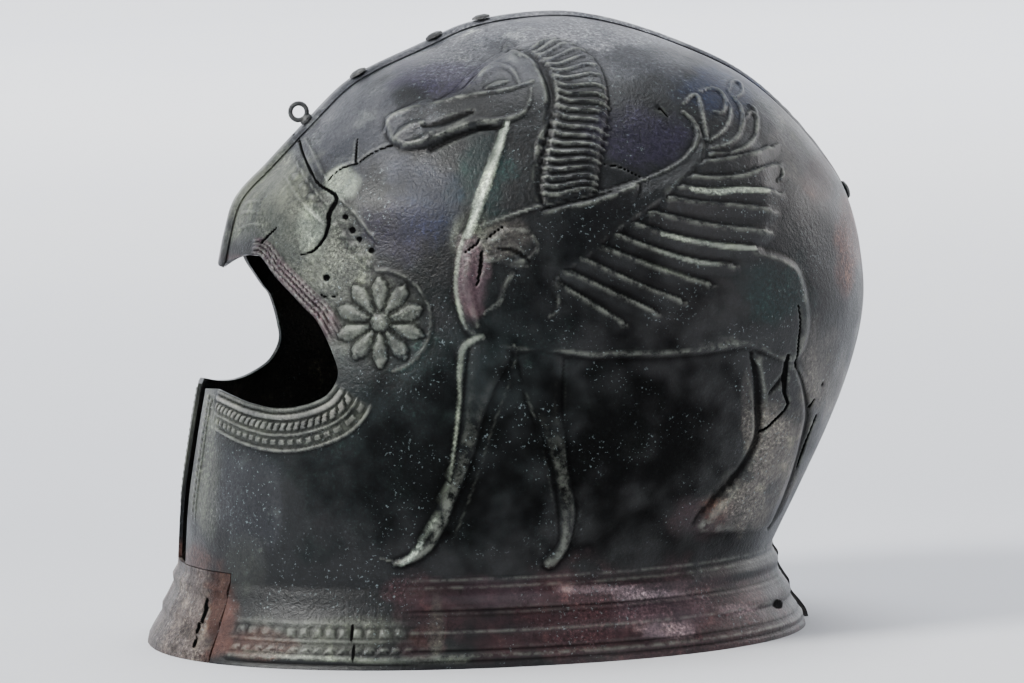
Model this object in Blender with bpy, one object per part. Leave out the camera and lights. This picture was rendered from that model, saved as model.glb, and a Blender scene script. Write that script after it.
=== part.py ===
"""Greek bronze helmet: two beaten halves lapped along the median line, with a raised winged horse,
rosette and borders on each side, a narrow slit between the cheeks and a flared rim under the neck.
The helmet faces -X, its left half is at -Y, and it rests on its rim at Z = 0."""

import math

import bmesh
import bpy
import numpy as np
from mathutils import Matrix, Vector
from mathutils.geometry import delaunay_2d_cdt

# Driving dimensions, in metres
LENGTH = 0.246  # skull and cheeks, front to back, without the flare
WIDTH = 0.182  # across the skull at its widest
HEIGHT = 0.218  # floor to crown
WALL = 0.0013
GAP = 0.0003  # between pieces that touch
LAP = 0.008  # width of the right half's edge where it lies over the left
LAP_RAMP = 0.003  # run over which the right half rises onto the left
FLARE_HEIGHT = 0.030  # from the rim's underside to the neck
FLARE_REACH = 0.0115  # how far the rim stands out from the neck
FLARE_RAMP = 0.009  # run over which the right half's flare rises onto the left's
RIM_THICKNESS = 0.0025
PEAK_DROP = 0.0055  # how far the brow peak hangs below the brow's edge beside it
SLIT_WIDTH = 0.018  # between the two cheeks
INFILL_WIDTH = 0.080  # modern piece across the front of the flare
FIGURE_RELIEF = 0.0016  # how far the horse stands out
DETAIL_RELIEF = 0.0009  # feathers, mane and petals on top of that
BORDER_RELIEF = 0.0009  # rolls along the edge of the face opening
EDGE_SOFTNESS = 0.0025  # run of the slope round the horse
RIVET_SHANK = 0.0026
RIVET_HEAD = 0.0068
RIVET_DOME = 0.0013
CLENCH_GAP = 0.0007  # under the clenched heads inside
LOOP_DIAMETER = 0.0076
LOOP_WIRE = 0.0017

# Horizontal sections, crown to neck. Heights are shares of HEIGHT, front and back are shares of
# LENGTH from the front of the cheeks, half widths are shares of WIDTH, and the powers say how
# pointed (below 2) or boxy (over 2) the section is.
SECTION_COLUMNS = ("height", "front", "back", "half_width", "front_power", "back_power")
SECTIONS = (
    (1.000, 0.556, 0.556, 0.000, 2.00, 2.00),
    (0.986, 0.440, 0.640, 0.109, 2.00, 2.00),
    (0.954, 0.370, 0.724, 0.207, 2.00, 2.00),
    (0.900, 0.266, 0.824, 0.310, 2.00, 2.00),
    (0.836, 0.203, 0.892, 0.380, 1.90, 2.05),
    (0.772, 0.146, 0.940, 0.429, 1.80, 2.05),
    (0.717, 0.098, 0.972, 0.462, 1.70, 2.10),
    (0.662, 0.081, 0.989, 0.484, 1.66, 2.10),
    (0.607, 0.070, 0.998, 0.495, 1.70, 2.10),
    (0.525, 0.052, 1.000, 0.500, 1.80, 2.15),
    (0.438, 0.038, 0.984, 0.495, 2.00, 2.15),
    (0.329, 0.020, 0.945, 0.478, 2.10, 2.20),
    (0.228, 0.006, 0.901, 0.457, 2.15, 2.20),
    (0.137, 0.000, 0.860, 0.429, 2.20, 2.20),
)
CROWN_SHARE = 0.556  # where the crown's top lies along LENGTH
CENTRE_SHARE = 0.480  # height of the side centre from which the shell is charted
RIM_START = 0.6  # share of the flare's height at which the rim begins to thicken

# Flare mouldings, neck to rim: drop is a share of FLARE_HEIGHT and reach a share of FLARE_REACH.
FLARE_COLUMNS = ("drop", "reach")
FLARE_PROFILE = (
    (0.00, 0.00),
    (0.10, 0.02),
    (0.20, 0.18),
    (0.30, 0.16),
    (0.45, 0.36),
    (0.55, 0.52),
    (0.64, 0.54),
    (0.80, 0.80),
    (0.90, 0.94),
    (1.00, 1.00),
)

# The drawing of the left side is ruled into steps: DRAWING_TALL of them over HEIGHT and
# DRAWING_LONG over LENGTH. Points are (right, down) in steps from the drawing's corner, and
# DRAWING_MIDDLE is the step that lies on the middle of the helmet.
DRAWING_TALL = 608
DRAWING_LONG = 694
DRAWING_MIDDLE = (505, 324)
# The drawing is pressed on as seen by an eye on the left. Lengths here are in lengths of the
# helmet, so that it follows when the helmet changes size.
EYE_DISTANCE = 8.943
EYE_AZIMUTH = -11.0  # degrees from square on, toward the face
EYE_ELEVATION = 5.5  # degrees
EYE_ROLL = 1.15  # degrees that the drawing is turned, its right side up
DRAWN_WIDTH = 0.7398
DRAWN_HEIGHT = 0.8862
FACE_EDGE = (
    (253, 256), (261, 258), (275, 277), (290, 293), (305, 309), (316, 320), (326, 338),
    (334, 357), (338, 371), (335, 383), (324, 396), (300, 405), (275, 407), (250, 402),
    (230, 394), (217, 388),
)  # brow peak, eye corner, top of the cheek
HEAD = (
    (384, 126), (386, 118), (398, 112), (418, 108), (440, 104), (460, 94), (480, 75), (500, 60),
    (516, 53), (536, 64), (549, 88), (551, 112), (530, 126), (500, 127), (480, 128), (455, 138),
    (430, 149), (405, 151), (389, 144),
)
NECK = (
    (503, 122), (495, 150), (485, 175), (476, 205), (470, 232), (505, 238), (545, 222), (541, 180),
    (549, 135), (552, 100), (530, 92),
)
CHEST = (
    (470, 225), (459, 258), (457, 300), (470, 337), (500, 355), (558, 357), (572, 325), (590, 288),
    (600, 255), (585, 228), (545, 212), (505, 214),
)
BARREL = (
    (530, 330), (568, 356), (645, 360), (703, 356), (749, 352), (770, 372), (792, 380), (806, 360),
    (812, 320), (806, 280), (790, 256), (750, 246), (700, 250), (640, 252), (590, 262), (548, 290),
)
MANE = (
    (512, 52), (545, 42), (575, 45), (595, 60), (606, 82), (608, 112), (606, 132), (600, 170),
    (598, 195), (570, 204), (541, 208), (541, 170), (548, 135), (552, 100), (543, 72),
)
# Strips: rows of right, down, width, in steps.
NEAR_FORE_LEG = (
    (496, 345, 30), (486, 372, 22), (475, 405, 13), (466, 445, 10), (456, 480, 9), (445, 512, 9),
    (431, 541, 9), (411, 557, 9), (388, 560, 5),
)
FAR_FORE_LEG = (
    (541, 358, 28), (547, 400, 18), (553, 435, 11), (562, 470, 10), (567, 505, 12), (563, 540, 9),
    (550, 560, 8),
)
HIND_LEG = (
    (770, 362, 30), (769, 398, 19), (759, 433, 13), (744, 463, 11), (719, 502, 10), (700, 532, 8),
)
TAIL = ((800, 365, 10), (806, 405, 8), (797, 445, 7), (786, 487, 6), (772, 528, 5))
WING_ARM = (
    (492, 236, 18), (540, 222, 22), (590, 214, 22), (635, 202, 20), (672, 181, 16), (694, 152, 12),
    (690, 121, 7),
)
FEATHER_WIDTH = 11
# Feathers: root right, root down, tip right, tip down, in steps.
FEATHERS = (
    (572, 289, 622, 322), (586, 270, 653, 318), (602, 252, 680, 305), (618, 240, 708, 292),
    (634, 229, 728, 280), (648, 220, 752, 264), (662, 211, 768, 238), (676, 203, 776, 214),
    (688, 192, 782, 194), (698, 178, 784, 172),
)
# Curled feathers at the wing's tip: middle right, middle down, radius, all in steps.
WING_CURLS = ((733, 132, 18), (742, 132, 33), (752, 133, 48))
CURL_WIDTH = 9
CURL_ANGLES = (200, 240, 280, 320, 350)  # degrees round from the right, down first
ROSETTE_MIDDLE = (380, 322)
ROSETTE_RADIUS = 43
ROSETTE_BOSS = 10
ROSETTE_PETALS = 10
PETAL_WIDTH = 15
# A petal's shape: share of the rosette's radius and share of the petal's width
PETAL_SHAPE = ((0.30, 0.25), (0.62, 0.80), (0.84, 1.00), (1.00, 0.45))
BOSS_RISE = 1.3  # the boss's height in heights of the petals

# Borders along the face opening: middle of each roll from the edge and its width, in metres
BORDERS = ((0.0012, 0.0024), (0.0052, 0.0026), (0.0105, 0.0040))

# Rivets through the lap: name and angle about the side centre, in degrees above the back
RIVETS = (("rivet_brow", 126.4), ("rivet_crown", 111.4), ("rivet_top", 102.6), ("rivet_nape", 24.4))
LOOP_ANGLE = 138.2
# Rivet heads: share of the head's radius and share of the dome's height, outside and inside
HEAD_PROFILE = ((1.0, 0.0), (0.9, 0.5), (0.5, 0.92), (0.0, 1.0))
CLENCH_PROFILE = ((0.0, 0.7), (0.6, 0.55), (0.8, 0.0))
LOOP_FOOT = 0.7  # the eyelet's foot in radii of a rivet's head
LOOP_NECK = 0.8  # its neck in radii of the shank
LOOP_NECK_RISE = 2.2  # the neck's height in radii of the wire
LOOP_SET = 1.4  # how high the ring starts, in radii of the wire

# Colours, roughness and metallic value
FINISHES = {
    "dark_bronze": ((0.020, 0.026, 0.026), 0.48, 0.55),
    "rivet_bronze": ((0.040, 0.042, 0.036), 0.50, 0.55),
    "loop_bronze": ((0.075, 0.075, 0.068), 0.45, 0.60),
    "infill": ((0.220, 0.190, 0.160), 0.70, 0.05),
}

# Fineness of the mesh, in metres or counts, and in steps where it is for the drawing
RAYS = 720
RAY_STEPS = 160
FILL_SPACING = 0.0132
INNER_SPACING = 0.024
LAP_STATION = 0.0085
LAP_SAMPLES = 600
LINE_CLEARANCE = 0.0009  # kept between a relief line and the sheet's edge
CROWDING = 0.45  # nearest that a fill point comes to a line, in spacings
SLIT_POINTS = 9
FLARE_STATIONS = 25
INFILL_STATIONS = 12
EDGE_DRAWN = 17
AREA_DRAWN = 20
STRIP_DRAWN = 24
FEATHER_DRAWN = 34
PETAL_DRAWN = 12
FEATHER_BOW = 3
CURVE_STEPS = 12
ROUND_SIDES = 12
BOSS_SIDES = 8
RING_SIDES = 18
WIRE_SIDES = 8
SHARP_ANGLE = 40
NUDGE = 0.0003  # for slopes taken by a small move
WIDE_NUDGE = 0.0015  # for the way out of the sheet, past the crease of the map at the median
TURN_NUDGE = 0.001
SOLVER_ROUNDS = 14
LONGEST_MOVE = 0.01
NEAR_EDGE = 0.98  # first guesses stay inside this share of the map
DRAWN_SHRINK = 0.94  # first guesses for the drawing are drawn in by this much
MESH_SCALE = 1000.0
MESH_TOLERANCE = 0.02
TINY = 1e-12


def column(table, names, name):
    return np.array([row[names.index(name)] for row in table], float)


def smooth(knots, values, at):
    """A smooth curve through a table's rows."""
    slopes = np.gradient(values, knots)
    at = np.clip(at, knots[0], knots[-1])
    i = np.clip(np.searchsorted(knots, at) - 1, 0, len(knots) - 2)
    run = knots[i + 1] - knots[i]
    t = (at - knots[i]) / run
    start = values[i] * (1 + 2 * t) * (1 - t) ** 2 + slopes[i] * run * t * (1 - t) ** 2
    end = values[i + 1] * t**2 * (3 - 2 * t) + slopes[i + 1] * run * t**2 * (t - 1)
    return start + end


def along(share):
    """X at a share of LENGTH from the front of the cheeks. The whole helmet, from the rim's chin to
    the lap at the back, is centred on the origin."""
    return (share - 0.5) * LENGTH + (FLARE_REACH - WALL - GAP) / 2


def section(z):
    """Front, back, half width and the two powers of the horizontal section at height z."""
    drop = np.sqrt(np.clip(1 - np.asarray(z, float) / HEIGHT, 0, 1))
    knots = np.sqrt(1 - column(SECTIONS, SECTION_COLUMNS, "height"))
    read = {n: smooth(knots, column(SECTIONS, SECTION_COLUMNS, n), drop) for n in SECTION_COLUMNS[1:]}
    front = along(read["front"])
    back = along(read["back"])
    return front, back, read["half_width"] * WIDTH, read["front_power"], read["back_power"]


def half_width_at(x, z):
    """Distance of the shell from the median plane at x and z, zero outside it."""
    front, back, half, front_power, back_power = section(z)
    share = (x - (front + back) / 2) / np.maximum((back - front) / 2, 1e-9)
    power = np.where(share < 0, front_power, back_power)
    return half * np.clip(1 - np.abs(share) ** power, 0, 1) ** (1 / power)


def at_turn(turn, z):
    """Point of the left side at an angle from the front median (0) by the ear to the back (pi)."""
    front, back, half, front_power, back_power = section(z)
    power = np.where(np.cos(turn) > 0, front_power, back_power)
    ahead = np.abs(np.cos(turn)) ** (2 / power) * np.sign(np.cos(turn))
    across = np.abs(np.sin(turn)) ** (2 / power) * np.sign(np.sin(turn))
    x = (front + back) / 2 - (back - front) / 2 * ahead
    return np.stack([x, -half * across, z * np.ones_like(x)], -1)


def turn_at(y, z, behind):
    """The angle whose point lies y to the left of the median plane, in front or behind."""
    _, _, half, front_power, back_power = section(z)
    power = back_power if behind else front_power
    turn = math.asin(min(1, (abs(y) / float(half)) ** (float(power) / 2))) * math.copysign(1, y)
    return math.pi - turn if behind else turn


class Chart:
    """Flat map of the left side. A point's bearing is its angle about the side centre, and its
    distance from the middle is the way there over the shell. Past the median the map goes on
    over the other side, mirrored."""

    def __init__(self):
        self.centre = np.array([along(CROWN_SHARE), CENTRE_SHARE * HEIGHT])
        self.bearings = np.linspace(-math.pi, math.pi, RAYS + 1)
        ways = np.stack([np.cos(self.bearings), np.sin(self.bearings)], 1)
        near = np.zeros(RAYS + 1)
        far = np.full(RAYS + 1, LENGTH)
        for _ in range(40):
            middle = (near + far) / 2
            x, z = (self.centre + ways * middle[:, None]).T
            front, back, _, _, _ = section(z)
            inside = (z < HEIGHT) & (x > front) & (x < back)
            near = np.where(inside, middle, near)
            far = np.where(inside, far, middle)
        down = np.where(ways[:, 1] < -1e-6, -self.centre[1] / np.minimum(ways[:, 1], -1e-6), LENGTH)
        self.reach = np.minimum(near, down)
        steps = np.linspace(0, 1, RAY_STEPS + 1)
        r = self.reach[:, None] * np.sin(steps * math.pi / 2)
        x = self.centre[0] + r * ways[:, :1]
        z = self.centre[1] + r * ways[:, 1:]
        y = half_width_at(x, z)
        y[:, -1] = np.where(near <= down, 0, y[:, -1])
        way = np.hypot(np.diff(r, axis=1), np.diff(y, axis=1)).cumsum(1)
        way = np.concatenate([np.zeros((RAYS + 1, 1)), way], 1)
        self.edge = way[:, -1]
        even = steps * self.edge[:, None]
        self.step_at = np.stack([np.interp(e, w, steps) for e, w in zip(even, way)])

    def edge_at(self, bearing):
        return np.interp(bearing, self.bearings, self.edge)

    def place(self, flat):
        """Points of the shell for points of the map."""
        bearing = np.arctan2(flat[:, 1], flat[:, 0])
        way = np.hypot(flat[:, 0], flat[:, 1])
        edge = self.edge_at(bearing)
        side = np.where(way > edge, 1.0, -1.0)
        way = np.where(way > edge, 2 * edge - way, way)
        column_at = (bearing + math.pi) / (2 * math.pi) * RAYS
        i = np.clip(column_at.astype(int), 0, RAYS - 1)
        u = column_at - i
        row_at = np.clip(way / edge, 0, 1) * RAY_STEPS
        j = np.clip(row_at.astype(int), 0, RAY_STEPS - 1)
        v = row_at - j
        t = self.step_at
        step = (1 - u) * ((1 - v) * t[i, j] + v * t[i, j + 1])
        step = step + u * ((1 - v) * t[i + 1, j] + v * t[i + 1, j + 1])
        r = np.interp(bearing, self.bearings, self.reach) * np.sin(step * math.pi / 2)
        x = self.centre[0] + r * np.cos(bearing)
        z = self.centre[1] + r * np.sin(bearing)
        return np.stack([x, side * half_width_at(x, z), z], 1)

    def normals(self, flat):
        along = self.place(flat + [WIDE_NUDGE, 0]) - self.place(flat - [WIDE_NUDGE, 0])
        up = self.place(flat + [0, WIDE_NUDGE]) - self.place(flat - [0, WIDE_NUDGE])
        out = np.cross(along, up)
        return out / np.maximum(np.linalg.norm(out, axis=1, keepdims=True), TINY)

    def solve(self, target, measure, guess):
        """Map points whose place gives the wanted measures."""
        flat = guess.copy()
        for _ in range(SOLVER_ROUNDS):
            now = measure(self.place(flat))
            slope_a = (measure(self.place(flat + [NUDGE, 0])) - now) / NUDGE
            slope_b = (measure(self.place(flat + [0, NUDGE])) - now) / NUDGE
            jacobian = np.stack([slope_a, slope_b], 2)
            square = np.einsum("nki,nkj->nij", jacobian, jacobian) + 1e-7 * np.eye(2)
            pull = np.einsum("nki,nk->ni", jacobian, target - now)
            move = np.linalg.solve(square, pull[:, :, None])[:, :, 0]
            size = np.linalg.norm(move, axis=1, keepdims=True)
            flat = flat + move * np.minimum(1, LONGEST_MOVE / np.maximum(size, TINY))
        return flat

    def guess(self, points):
        """Map points near points of the shell, by their way from the side centre alone."""
        ways = points[:, [0, 2]] - self.centre
        bearing = np.arctan2(ways[:, 1], ways[:, 0])
        share = np.linalg.norm(ways, axis=1) / np.interp(bearing, self.bearings, self.reach)
        way = self.edge_at(bearing) * np.arcsin(np.clip(share, 0, NEAR_EDGE)) * 2 / math.pi
        return np.stack([np.cos(bearing) * way, np.sin(bearing) * way], 1)

    def find(self, points):
        """Map points of points on the shell."""
        return self.solve(points, lambda p: p, self.guess(points))

    def press(self, drawn):
        """Map points of points of the drawing."""
        drawn = np.asarray(drawn, float)
        plain = (drawn - DRAWING_MIDDLE) * [LENGTH / DRAWING_LONG, -HEIGHT / DRAWING_TALL]
        plain = plain * DRAWN_SHRINK
        near = np.stack([plain[:, 0], 0 * plain[:, 0], plain[:, 1] + HEIGHT / 2], 1)
        step = LENGTH / DRAWING_LONG
        return self.solve(drawn * step, lambda p: drawing_of(p) * step, self.guess(near))


def drawing_of(points):
    """Steps of the drawing at which points of the left side are seen from the drawing's eye."""
    azimuth, elevation = math.radians(EYE_AZIMUTH), math.radians(EYE_ELEVATION)
    right = np.array([math.cos(azimuth), math.sin(azimuth), 0])
    away = np.array([-math.sin(azimuth), math.cos(azimuth), 0]) * math.cos(elevation)
    away[2] = -math.sin(elevation)
    up = np.cross(right, away)
    roll = math.radians(EYE_ROLL)
    across = right * math.cos(roll) - up * math.sin(roll)
    upward = up * math.cos(roll) + right * math.sin(roll)
    seen = (points - [0, 0, HEIGHT / 2]) * [1 / LENGTH, DRAWN_WIDTH / WIDTH, DRAWN_HEIGHT / HEIGHT]
    scale = EYE_DISTANCE / (EYE_DISTANCE + seen @ away)
    steps_right = seen @ across * scale * DRAWING_LONG
    steps_down = -(seen @ upward) * scale * DRAWING_TALL / DRAWN_HEIGHT
    return np.stack([steps_right, steps_down], 1) + DRAWING_MIDDLE


def rounded(points, closed, spacing):
    """A smooth line through hand-chosen points, cut at even spacing. Extra columns are kept."""
    p = np.asarray(points, float)
    if closed:
        p = np.concatenate([p[-1:], p, p[:2]])
    else:
        p = np.concatenate([2 * p[:1] - p[1:2], p, 2 * p[-1:] - p[-2:-1]])
    t = np.linspace(0, 1, CURVE_STEPS, endpoint=False)[:, None]
    runs = []
    for a, b, c, d in zip(p[:-3], p[1:-2], p[2:-1], p[3:]):
        bend = (2 * a - 5 * b + 4 * c - d) * t**2 + (3 * b - a - 3 * c + d) * t**3
        runs.append((2 * b + (c - a) * t + bend) / 2)
    line = np.concatenate(runs + [p[-2:-1]])
    way = np.concatenate([[0], np.linalg.norm(np.diff(line[:, :2], axis=0), axis=1).cumsum()])
    count = max(2, round(way[-1] / spacing))
    even = np.linspace(0, way[-1], count + 1)
    line = np.stack([np.interp(even, way, line[:, k]) for k in range(p.shape[1])], 1)
    return line[:-1] if closed else line


def side_ways(line, closed):
    """Unit vectors to the left of a line's points."""
    if closed:
        along = np.roll(line, -1, axis=0) - np.roll(line, 1, axis=0)
    else:
        along = np.gradient(line, axis=0)
    along = along / np.maximum(np.linalg.norm(along, axis=1, keepdims=True), TINY)
    return np.stack([-along[:, 1], along[:, 0]], 1)


def distance_to(points, starts, ends):
    """Distance from each point to the nearest segment, that segment, and the share along it."""
    best = np.full(len(points), np.inf)
    which = np.zeros(len(points), int)
    share = np.zeros(len(points))
    for k, (a, b) in enumerate(zip(starts, ends)):
        run = b - a
        t = np.clip((points - a) @ run / max(run @ run, TINY**2), 0, 1)
        d = np.linalg.norm(points - a - t[:, None] * run, axis=1)
        closer = d < best
        best[closer], which[closer], share[closer] = d[closer], k, t[closer]
    return best, which, share


def inside(points, outline):
    x, y = points.T
    result = np.zeros(len(points), bool)
    for a, b in zip(outline, np.roll(outline, -1, axis=0)):
        crosses = (a[1] > y) != (b[1] > y)
        at = a[0] + (y - a[1]) / (b[1] - a[1] if b[1] != a[1] else TINY) * (b[0] - a[0])
        result ^= crosses & (x < at)
    return result


def ease(t):
    t = np.clip(t, 0, 1)
    return t * t * (3 - 2 * t)


STEP = HEIGHT / DRAWING_TALL


class Area:
    """A raised field of the drawing with a soft edge."""

    def __init__(self, points, height):
        self.outline = rounded(points, True, AREA_DRAWN)
        self.height = height

    def lines(self):
        ways = side_ways(self.outline, True)
        middle = self.outline.mean(0)
        inward = np.sign(((middle - self.outline) * ways).sum(1).mean())
        inner = self.outline + ways * inward * EDGE_SOFTNESS / STEP
        return [(self.outline, True), (inner, True)]

    def height_at(self, drawn):
        result = np.zeros(len(drawn))
        reach = inside(drawn, self.outline)
        if reach.any():
            d, _, _ = distance_to(drawn[reach], self.outline, np.roll(self.outline, -1, axis=0))
            result[reach] = self.height * ease(d * STEP / EDGE_SOFTNESS)
        return result


class Strip:
    """A rounded ridge of the drawing along a line, with its own width at each point."""

    def __init__(self, points, height, spacing=STRIP_DRAWN):
        line = rounded(points, False, spacing)
        self.line, self.width, self.height = line[:, :2], line[:, 2], height

    def lines(self):
        ways = side_ways(self.line, False) * self.width[:, None] / 2
        return [(self.line + ways, False), (self.line, False), (self.line - ways, False)]

    def height_at(self, drawn):
        result = np.zeros(len(drawn))
        low = self.line.min(0) - self.width.max()
        high = self.line.max(0) + self.width.max()
        near = ((drawn > low) & (drawn < high)).all(1)
        if near.any():
            d, k, t = distance_to(drawn[near], self.line[:-1], self.line[1:])
            half = (self.width[k] * (1 - t) + self.width[k + 1] * t) / 2
            result[near] = self.height * np.sqrt(np.clip(1 - (d / np.maximum(half, TINY)) ** 2, 0, 1))
        return result


def petal(number):
    angle = 2 * math.pi * (number + 0.5) / ROSETTE_PETALS
    way = np.array([math.cos(angle), math.sin(angle)])
    middle = np.array(ROSETTE_MIDDLE, float)
    return [(*(middle + way * ROSETTE_RADIUS * far), PETAL_WIDTH * wide) for far, wide in PETAL_SHAPE]


def curl(right, down, radius):
    points = []
    for angle in np.radians(CURL_ANGLES):
        points.append((right + radius * math.cos(angle), down + radius * math.sin(angle), CURL_WIDTH))
    return points


def boss():
    angles = np.linspace(0, 2 * math.pi, BOSS_SIDES + 1)[:-1]
    return np.array(ROSETTE_MIDDLE) + ROSETTE_BOSS * np.stack([np.cos(angles), np.sin(angles)], 1)


class Relief:
    """The raised figure: broad forms, and finer ones that stand on them."""

    def __init__(self):
        self.broad = [Area(p, FIGURE_RELIEF) for p in (HEAD, NECK, CHEST, BARREL, MANE)]
        for leg in (NEAR_FORE_LEG, FAR_FORE_LEG, HIND_LEG, TAIL):
            self.broad.append(Strip(leg, FIGURE_RELIEF))
        self.fine = [Strip(WING_ARM, DETAIL_RELIEF)]
        for root_right, root_down, tip_right, tip_down in FEATHERS:
            root = (root_right, root_down, FEATHER_WIDTH)
            tip = (tip_right, tip_down, FEATHER_WIDTH / 2)
            bow = (root_down + tip_down) / 2 + FEATHER_BOW
            middle = ((root_right + tip_right) / 2, bow, FEATHER_WIDTH)
            self.fine.append(Strip((root, middle, tip), DETAIL_RELIEF, FEATHER_DRAWN))
        self.fine += [Strip(curl(*row), DETAIL_RELIEF) for row in WING_CURLS]
        self.fine += [Strip(petal(n), DETAIL_RELIEF, PETAL_DRAWN) for n in range(ROSETTE_PETALS)]

    def lines(self):
        return [line for shape in self.broad + self.fine for line in shape.lines()] + [(boss(), True)]

    def height_at(self, drawn):
        broad = np.max([shape.height_at(drawn) for shape in self.broad], axis=0)
        fine = np.max([shape.height_at(drawn) for shape in self.fine], axis=0)
        d = np.linalg.norm(drawn - ROSETTE_MIDDLE, axis=1)
        return broad + np.maximum(fine, DETAIL_RELIEF * BOSS_RISE * (d < ROSETTE_BOSS + 1))


def border_height(from_edge):
    result = np.zeros(len(from_edge))
    for middle, width in BORDERS:
        swell = np.sqrt(np.clip(1 - ((from_edge - middle) / (width / 2)) ** 2, 0, 1))
        result = np.maximum(result, BORDER_RELIEF * swell)
    return result


class Shell:
    """Boundary, relief and mesh points of one half, seen as the left one."""

    def __init__(self, chart, over):
        self.chart = chart
        self.over = over
        self.relief = Relief()
        slit_turn = turn_at(SLIT_WIDTH / 2, FLARE_HEIGHT, False)
        self.face = self.face_line(slit_turn)
        self.lap = self.lap_line(LAP / 2)
        self.stations = self.flare_stations()
        self.bottom = self.bottom_line(slit_turn)

    def face_line(self, slit_turn):
        """Slit, cheek top, eye corner and brow, ending past the median at the brow peak."""
        pressed = self.chart.press(rounded(FACE_EDGE, False, EDGE_DRAWN))[::-1]
        cheek_top = self.chart.place(pressed[:1])[0]
        heights = np.linspace(FLARE_HEIGHT, cheek_top[2], SLIT_POINTS)[:-1]
        turns = [turn_at(SLIT_WIDTH / 2, z, False) for z in heights]
        slit = self.chart.find(np.concatenate([at_turn(np.array([t]), z) for t, z in zip(turns, heights)]))
        peak = self.chart.place(pressed[-1:])[0]
        edge = self.chart.find(np.array([at_turn(np.array([0.0]), peak[2] - PEAK_DROP)[0]]))[0]
        near = self.to_median(pressed[-1:])[0]
        start = math.atan2(pressed[-1, 1], pressed[-1, 0])
        end = math.atan2(edge[1], edge[0])
        brow = []
        for distance in (LAP / 2 + GAP + LAP_RAMP, LAP / 2 + GAP, LAP / 4, 0, -LAP / 4, -LAP / 2):
            bearing = start + (end - start) * ease((near - distance) / (near + LAP / 2))
            way = self.chart.edge_at(bearing) - distance
            brow.append((math.cos(bearing) * way, math.sin(bearing) * way))
        return np.concatenate([slit, pressed, brow])

    def lap_line(self, past):
        """A line at one distance past the median, from the brow peak over the crown to the nape."""
        start = math.atan2(self.face[-1, 1], self.face[-1, 0])
        nape = at_turn(np.array([turn_at(-past, FLARE_HEIGHT, True)]), FLARE_HEIGHT)
        end = self.chart.find(nape)[0]
        end = math.atan2(end[1], end[0])
        start = start + 2 * math.pi if start < 0 else start
        fine = np.linspace(start, end, LAP_SAMPLES)
        wrapped = (fine + math.pi) % (2 * math.pi) - math.pi
        way = self.chart.edge_at(wrapped) + past
        line = np.stack([np.cos(fine) * way, np.sin(fine) * way], 1)
        run = np.linalg.norm(np.diff(self.chart.place(line), axis=0), axis=1).cumsum()
        run = np.concatenate([[0], run])
        self.run = np.linspace(0, 1, max(8, round(run[-1] / LAP_STATION)) + 1)
        even = self.run * run[-1]
        return np.stack([np.interp(even, run, line[:, k]) for k in (0, 1)], 1)

    def flare_stations(self):
        """Turns of the flare's columns, from the infill round to past the back median."""
        first = turn_at(INFILL_WIDTH / 2 + GAP / 2, FLARE_HEIGHT, False)
        last = turn_at(LAP / 2 + GAP + FLARE_RAMP, FLARE_HEIGHT, True)
        ends = [turn_at(LAP / 2 + GAP + FLARE_RAMP / 2, FLARE_HEIGHT, True)]
        ends += [turn_at(y, FLARE_HEIGHT, True) for y in (LAP / 2 + GAP, 0.0, -LAP / 2)]
        return np.array(list(np.linspace(first, last, FLARE_STATIONS)) + ends)

    def bottom_line(self, slit_turn):
        """Map points from the nape round to the slit. The flare joins at its stations."""
        first = self.stations[0]
        ahead = np.linspace(slit_turn, first, 4)[1:-1]
        turns = np.concatenate([self.stations[::-1], ahead[::-1]])
        return self.chart.find(np.concatenate([at_turn(np.array([t]), FLARE_HEIGHT) for t in turns]))

    def boundary(self):
        return np.concatenate([self.face, self.lap[1:-1], self.bottom])

    def rise(self, to_median, ramp):
        """How much of the lift over the left half the right half has, by distance to the median."""
        if not self.over:
            return np.zeros(len(to_median))
        return np.clip((LAP / 2 + GAP + ramp - to_median) / ramp, 0, 1)

    def to_median(self, flat):
        return self.chart.edge_at(np.arctan2(flat[:, 1], flat[:, 0])) - np.hypot(flat[:, 0], flat[:, 1])

    def height_at(self, flat):
        """Relief and borders above the plain shell."""
        drawn = drawing_of(self.chart.place(flat))
        figure = self.relief.height_at(drawn)
        from_edge, _, _ = distance_to(flat, self.face[:-1], self.face[1:])
        height = np.maximum(figure, border_height(from_edge))
        to_median = self.to_median(flat)
        clear = ease((to_median - LAP / 2 - LAP_RAMP - GAP) / LAP_RAMP)
        clear = clear * ease((self.chart.place(flat)[:, 2] - FLARE_HEIGHT) / EDGE_SOFTNESS)
        return height * clear

    def shell_points(self, flat, depth):
        """Points of the outer (depth 0) or inner surface."""
        lift = self.rise(self.to_median(flat), LAP_RAMP) * (WALL + GAP)
        lift = lift + (self.height_at(flat) if depth == 0 else 0) - depth
        return self.chart.place(flat) + self.chart.normals(flat) * lift[:, None]


def keep_inside(lines, outline, margin):
    """The stretches of lines that lie inside the outline and clear of it."""
    kept = []
    for line, closed in lines:
        points = np.concatenate([line, line[:1]]) if closed else line
        d, _, _ = distance_to(points, outline, np.roll(outline, -1, axis=0))
        good = inside(points, outline) & (d > margin)
        run = []
        for point, fine in zip(points, good):
            if fine:
                run.append(point)
                continue
            if len(run) > 1:
                kept.append(np.array(run))
            run = []
        if len(run) > 1:
            kept.append(np.array(run))
    return kept


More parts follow.
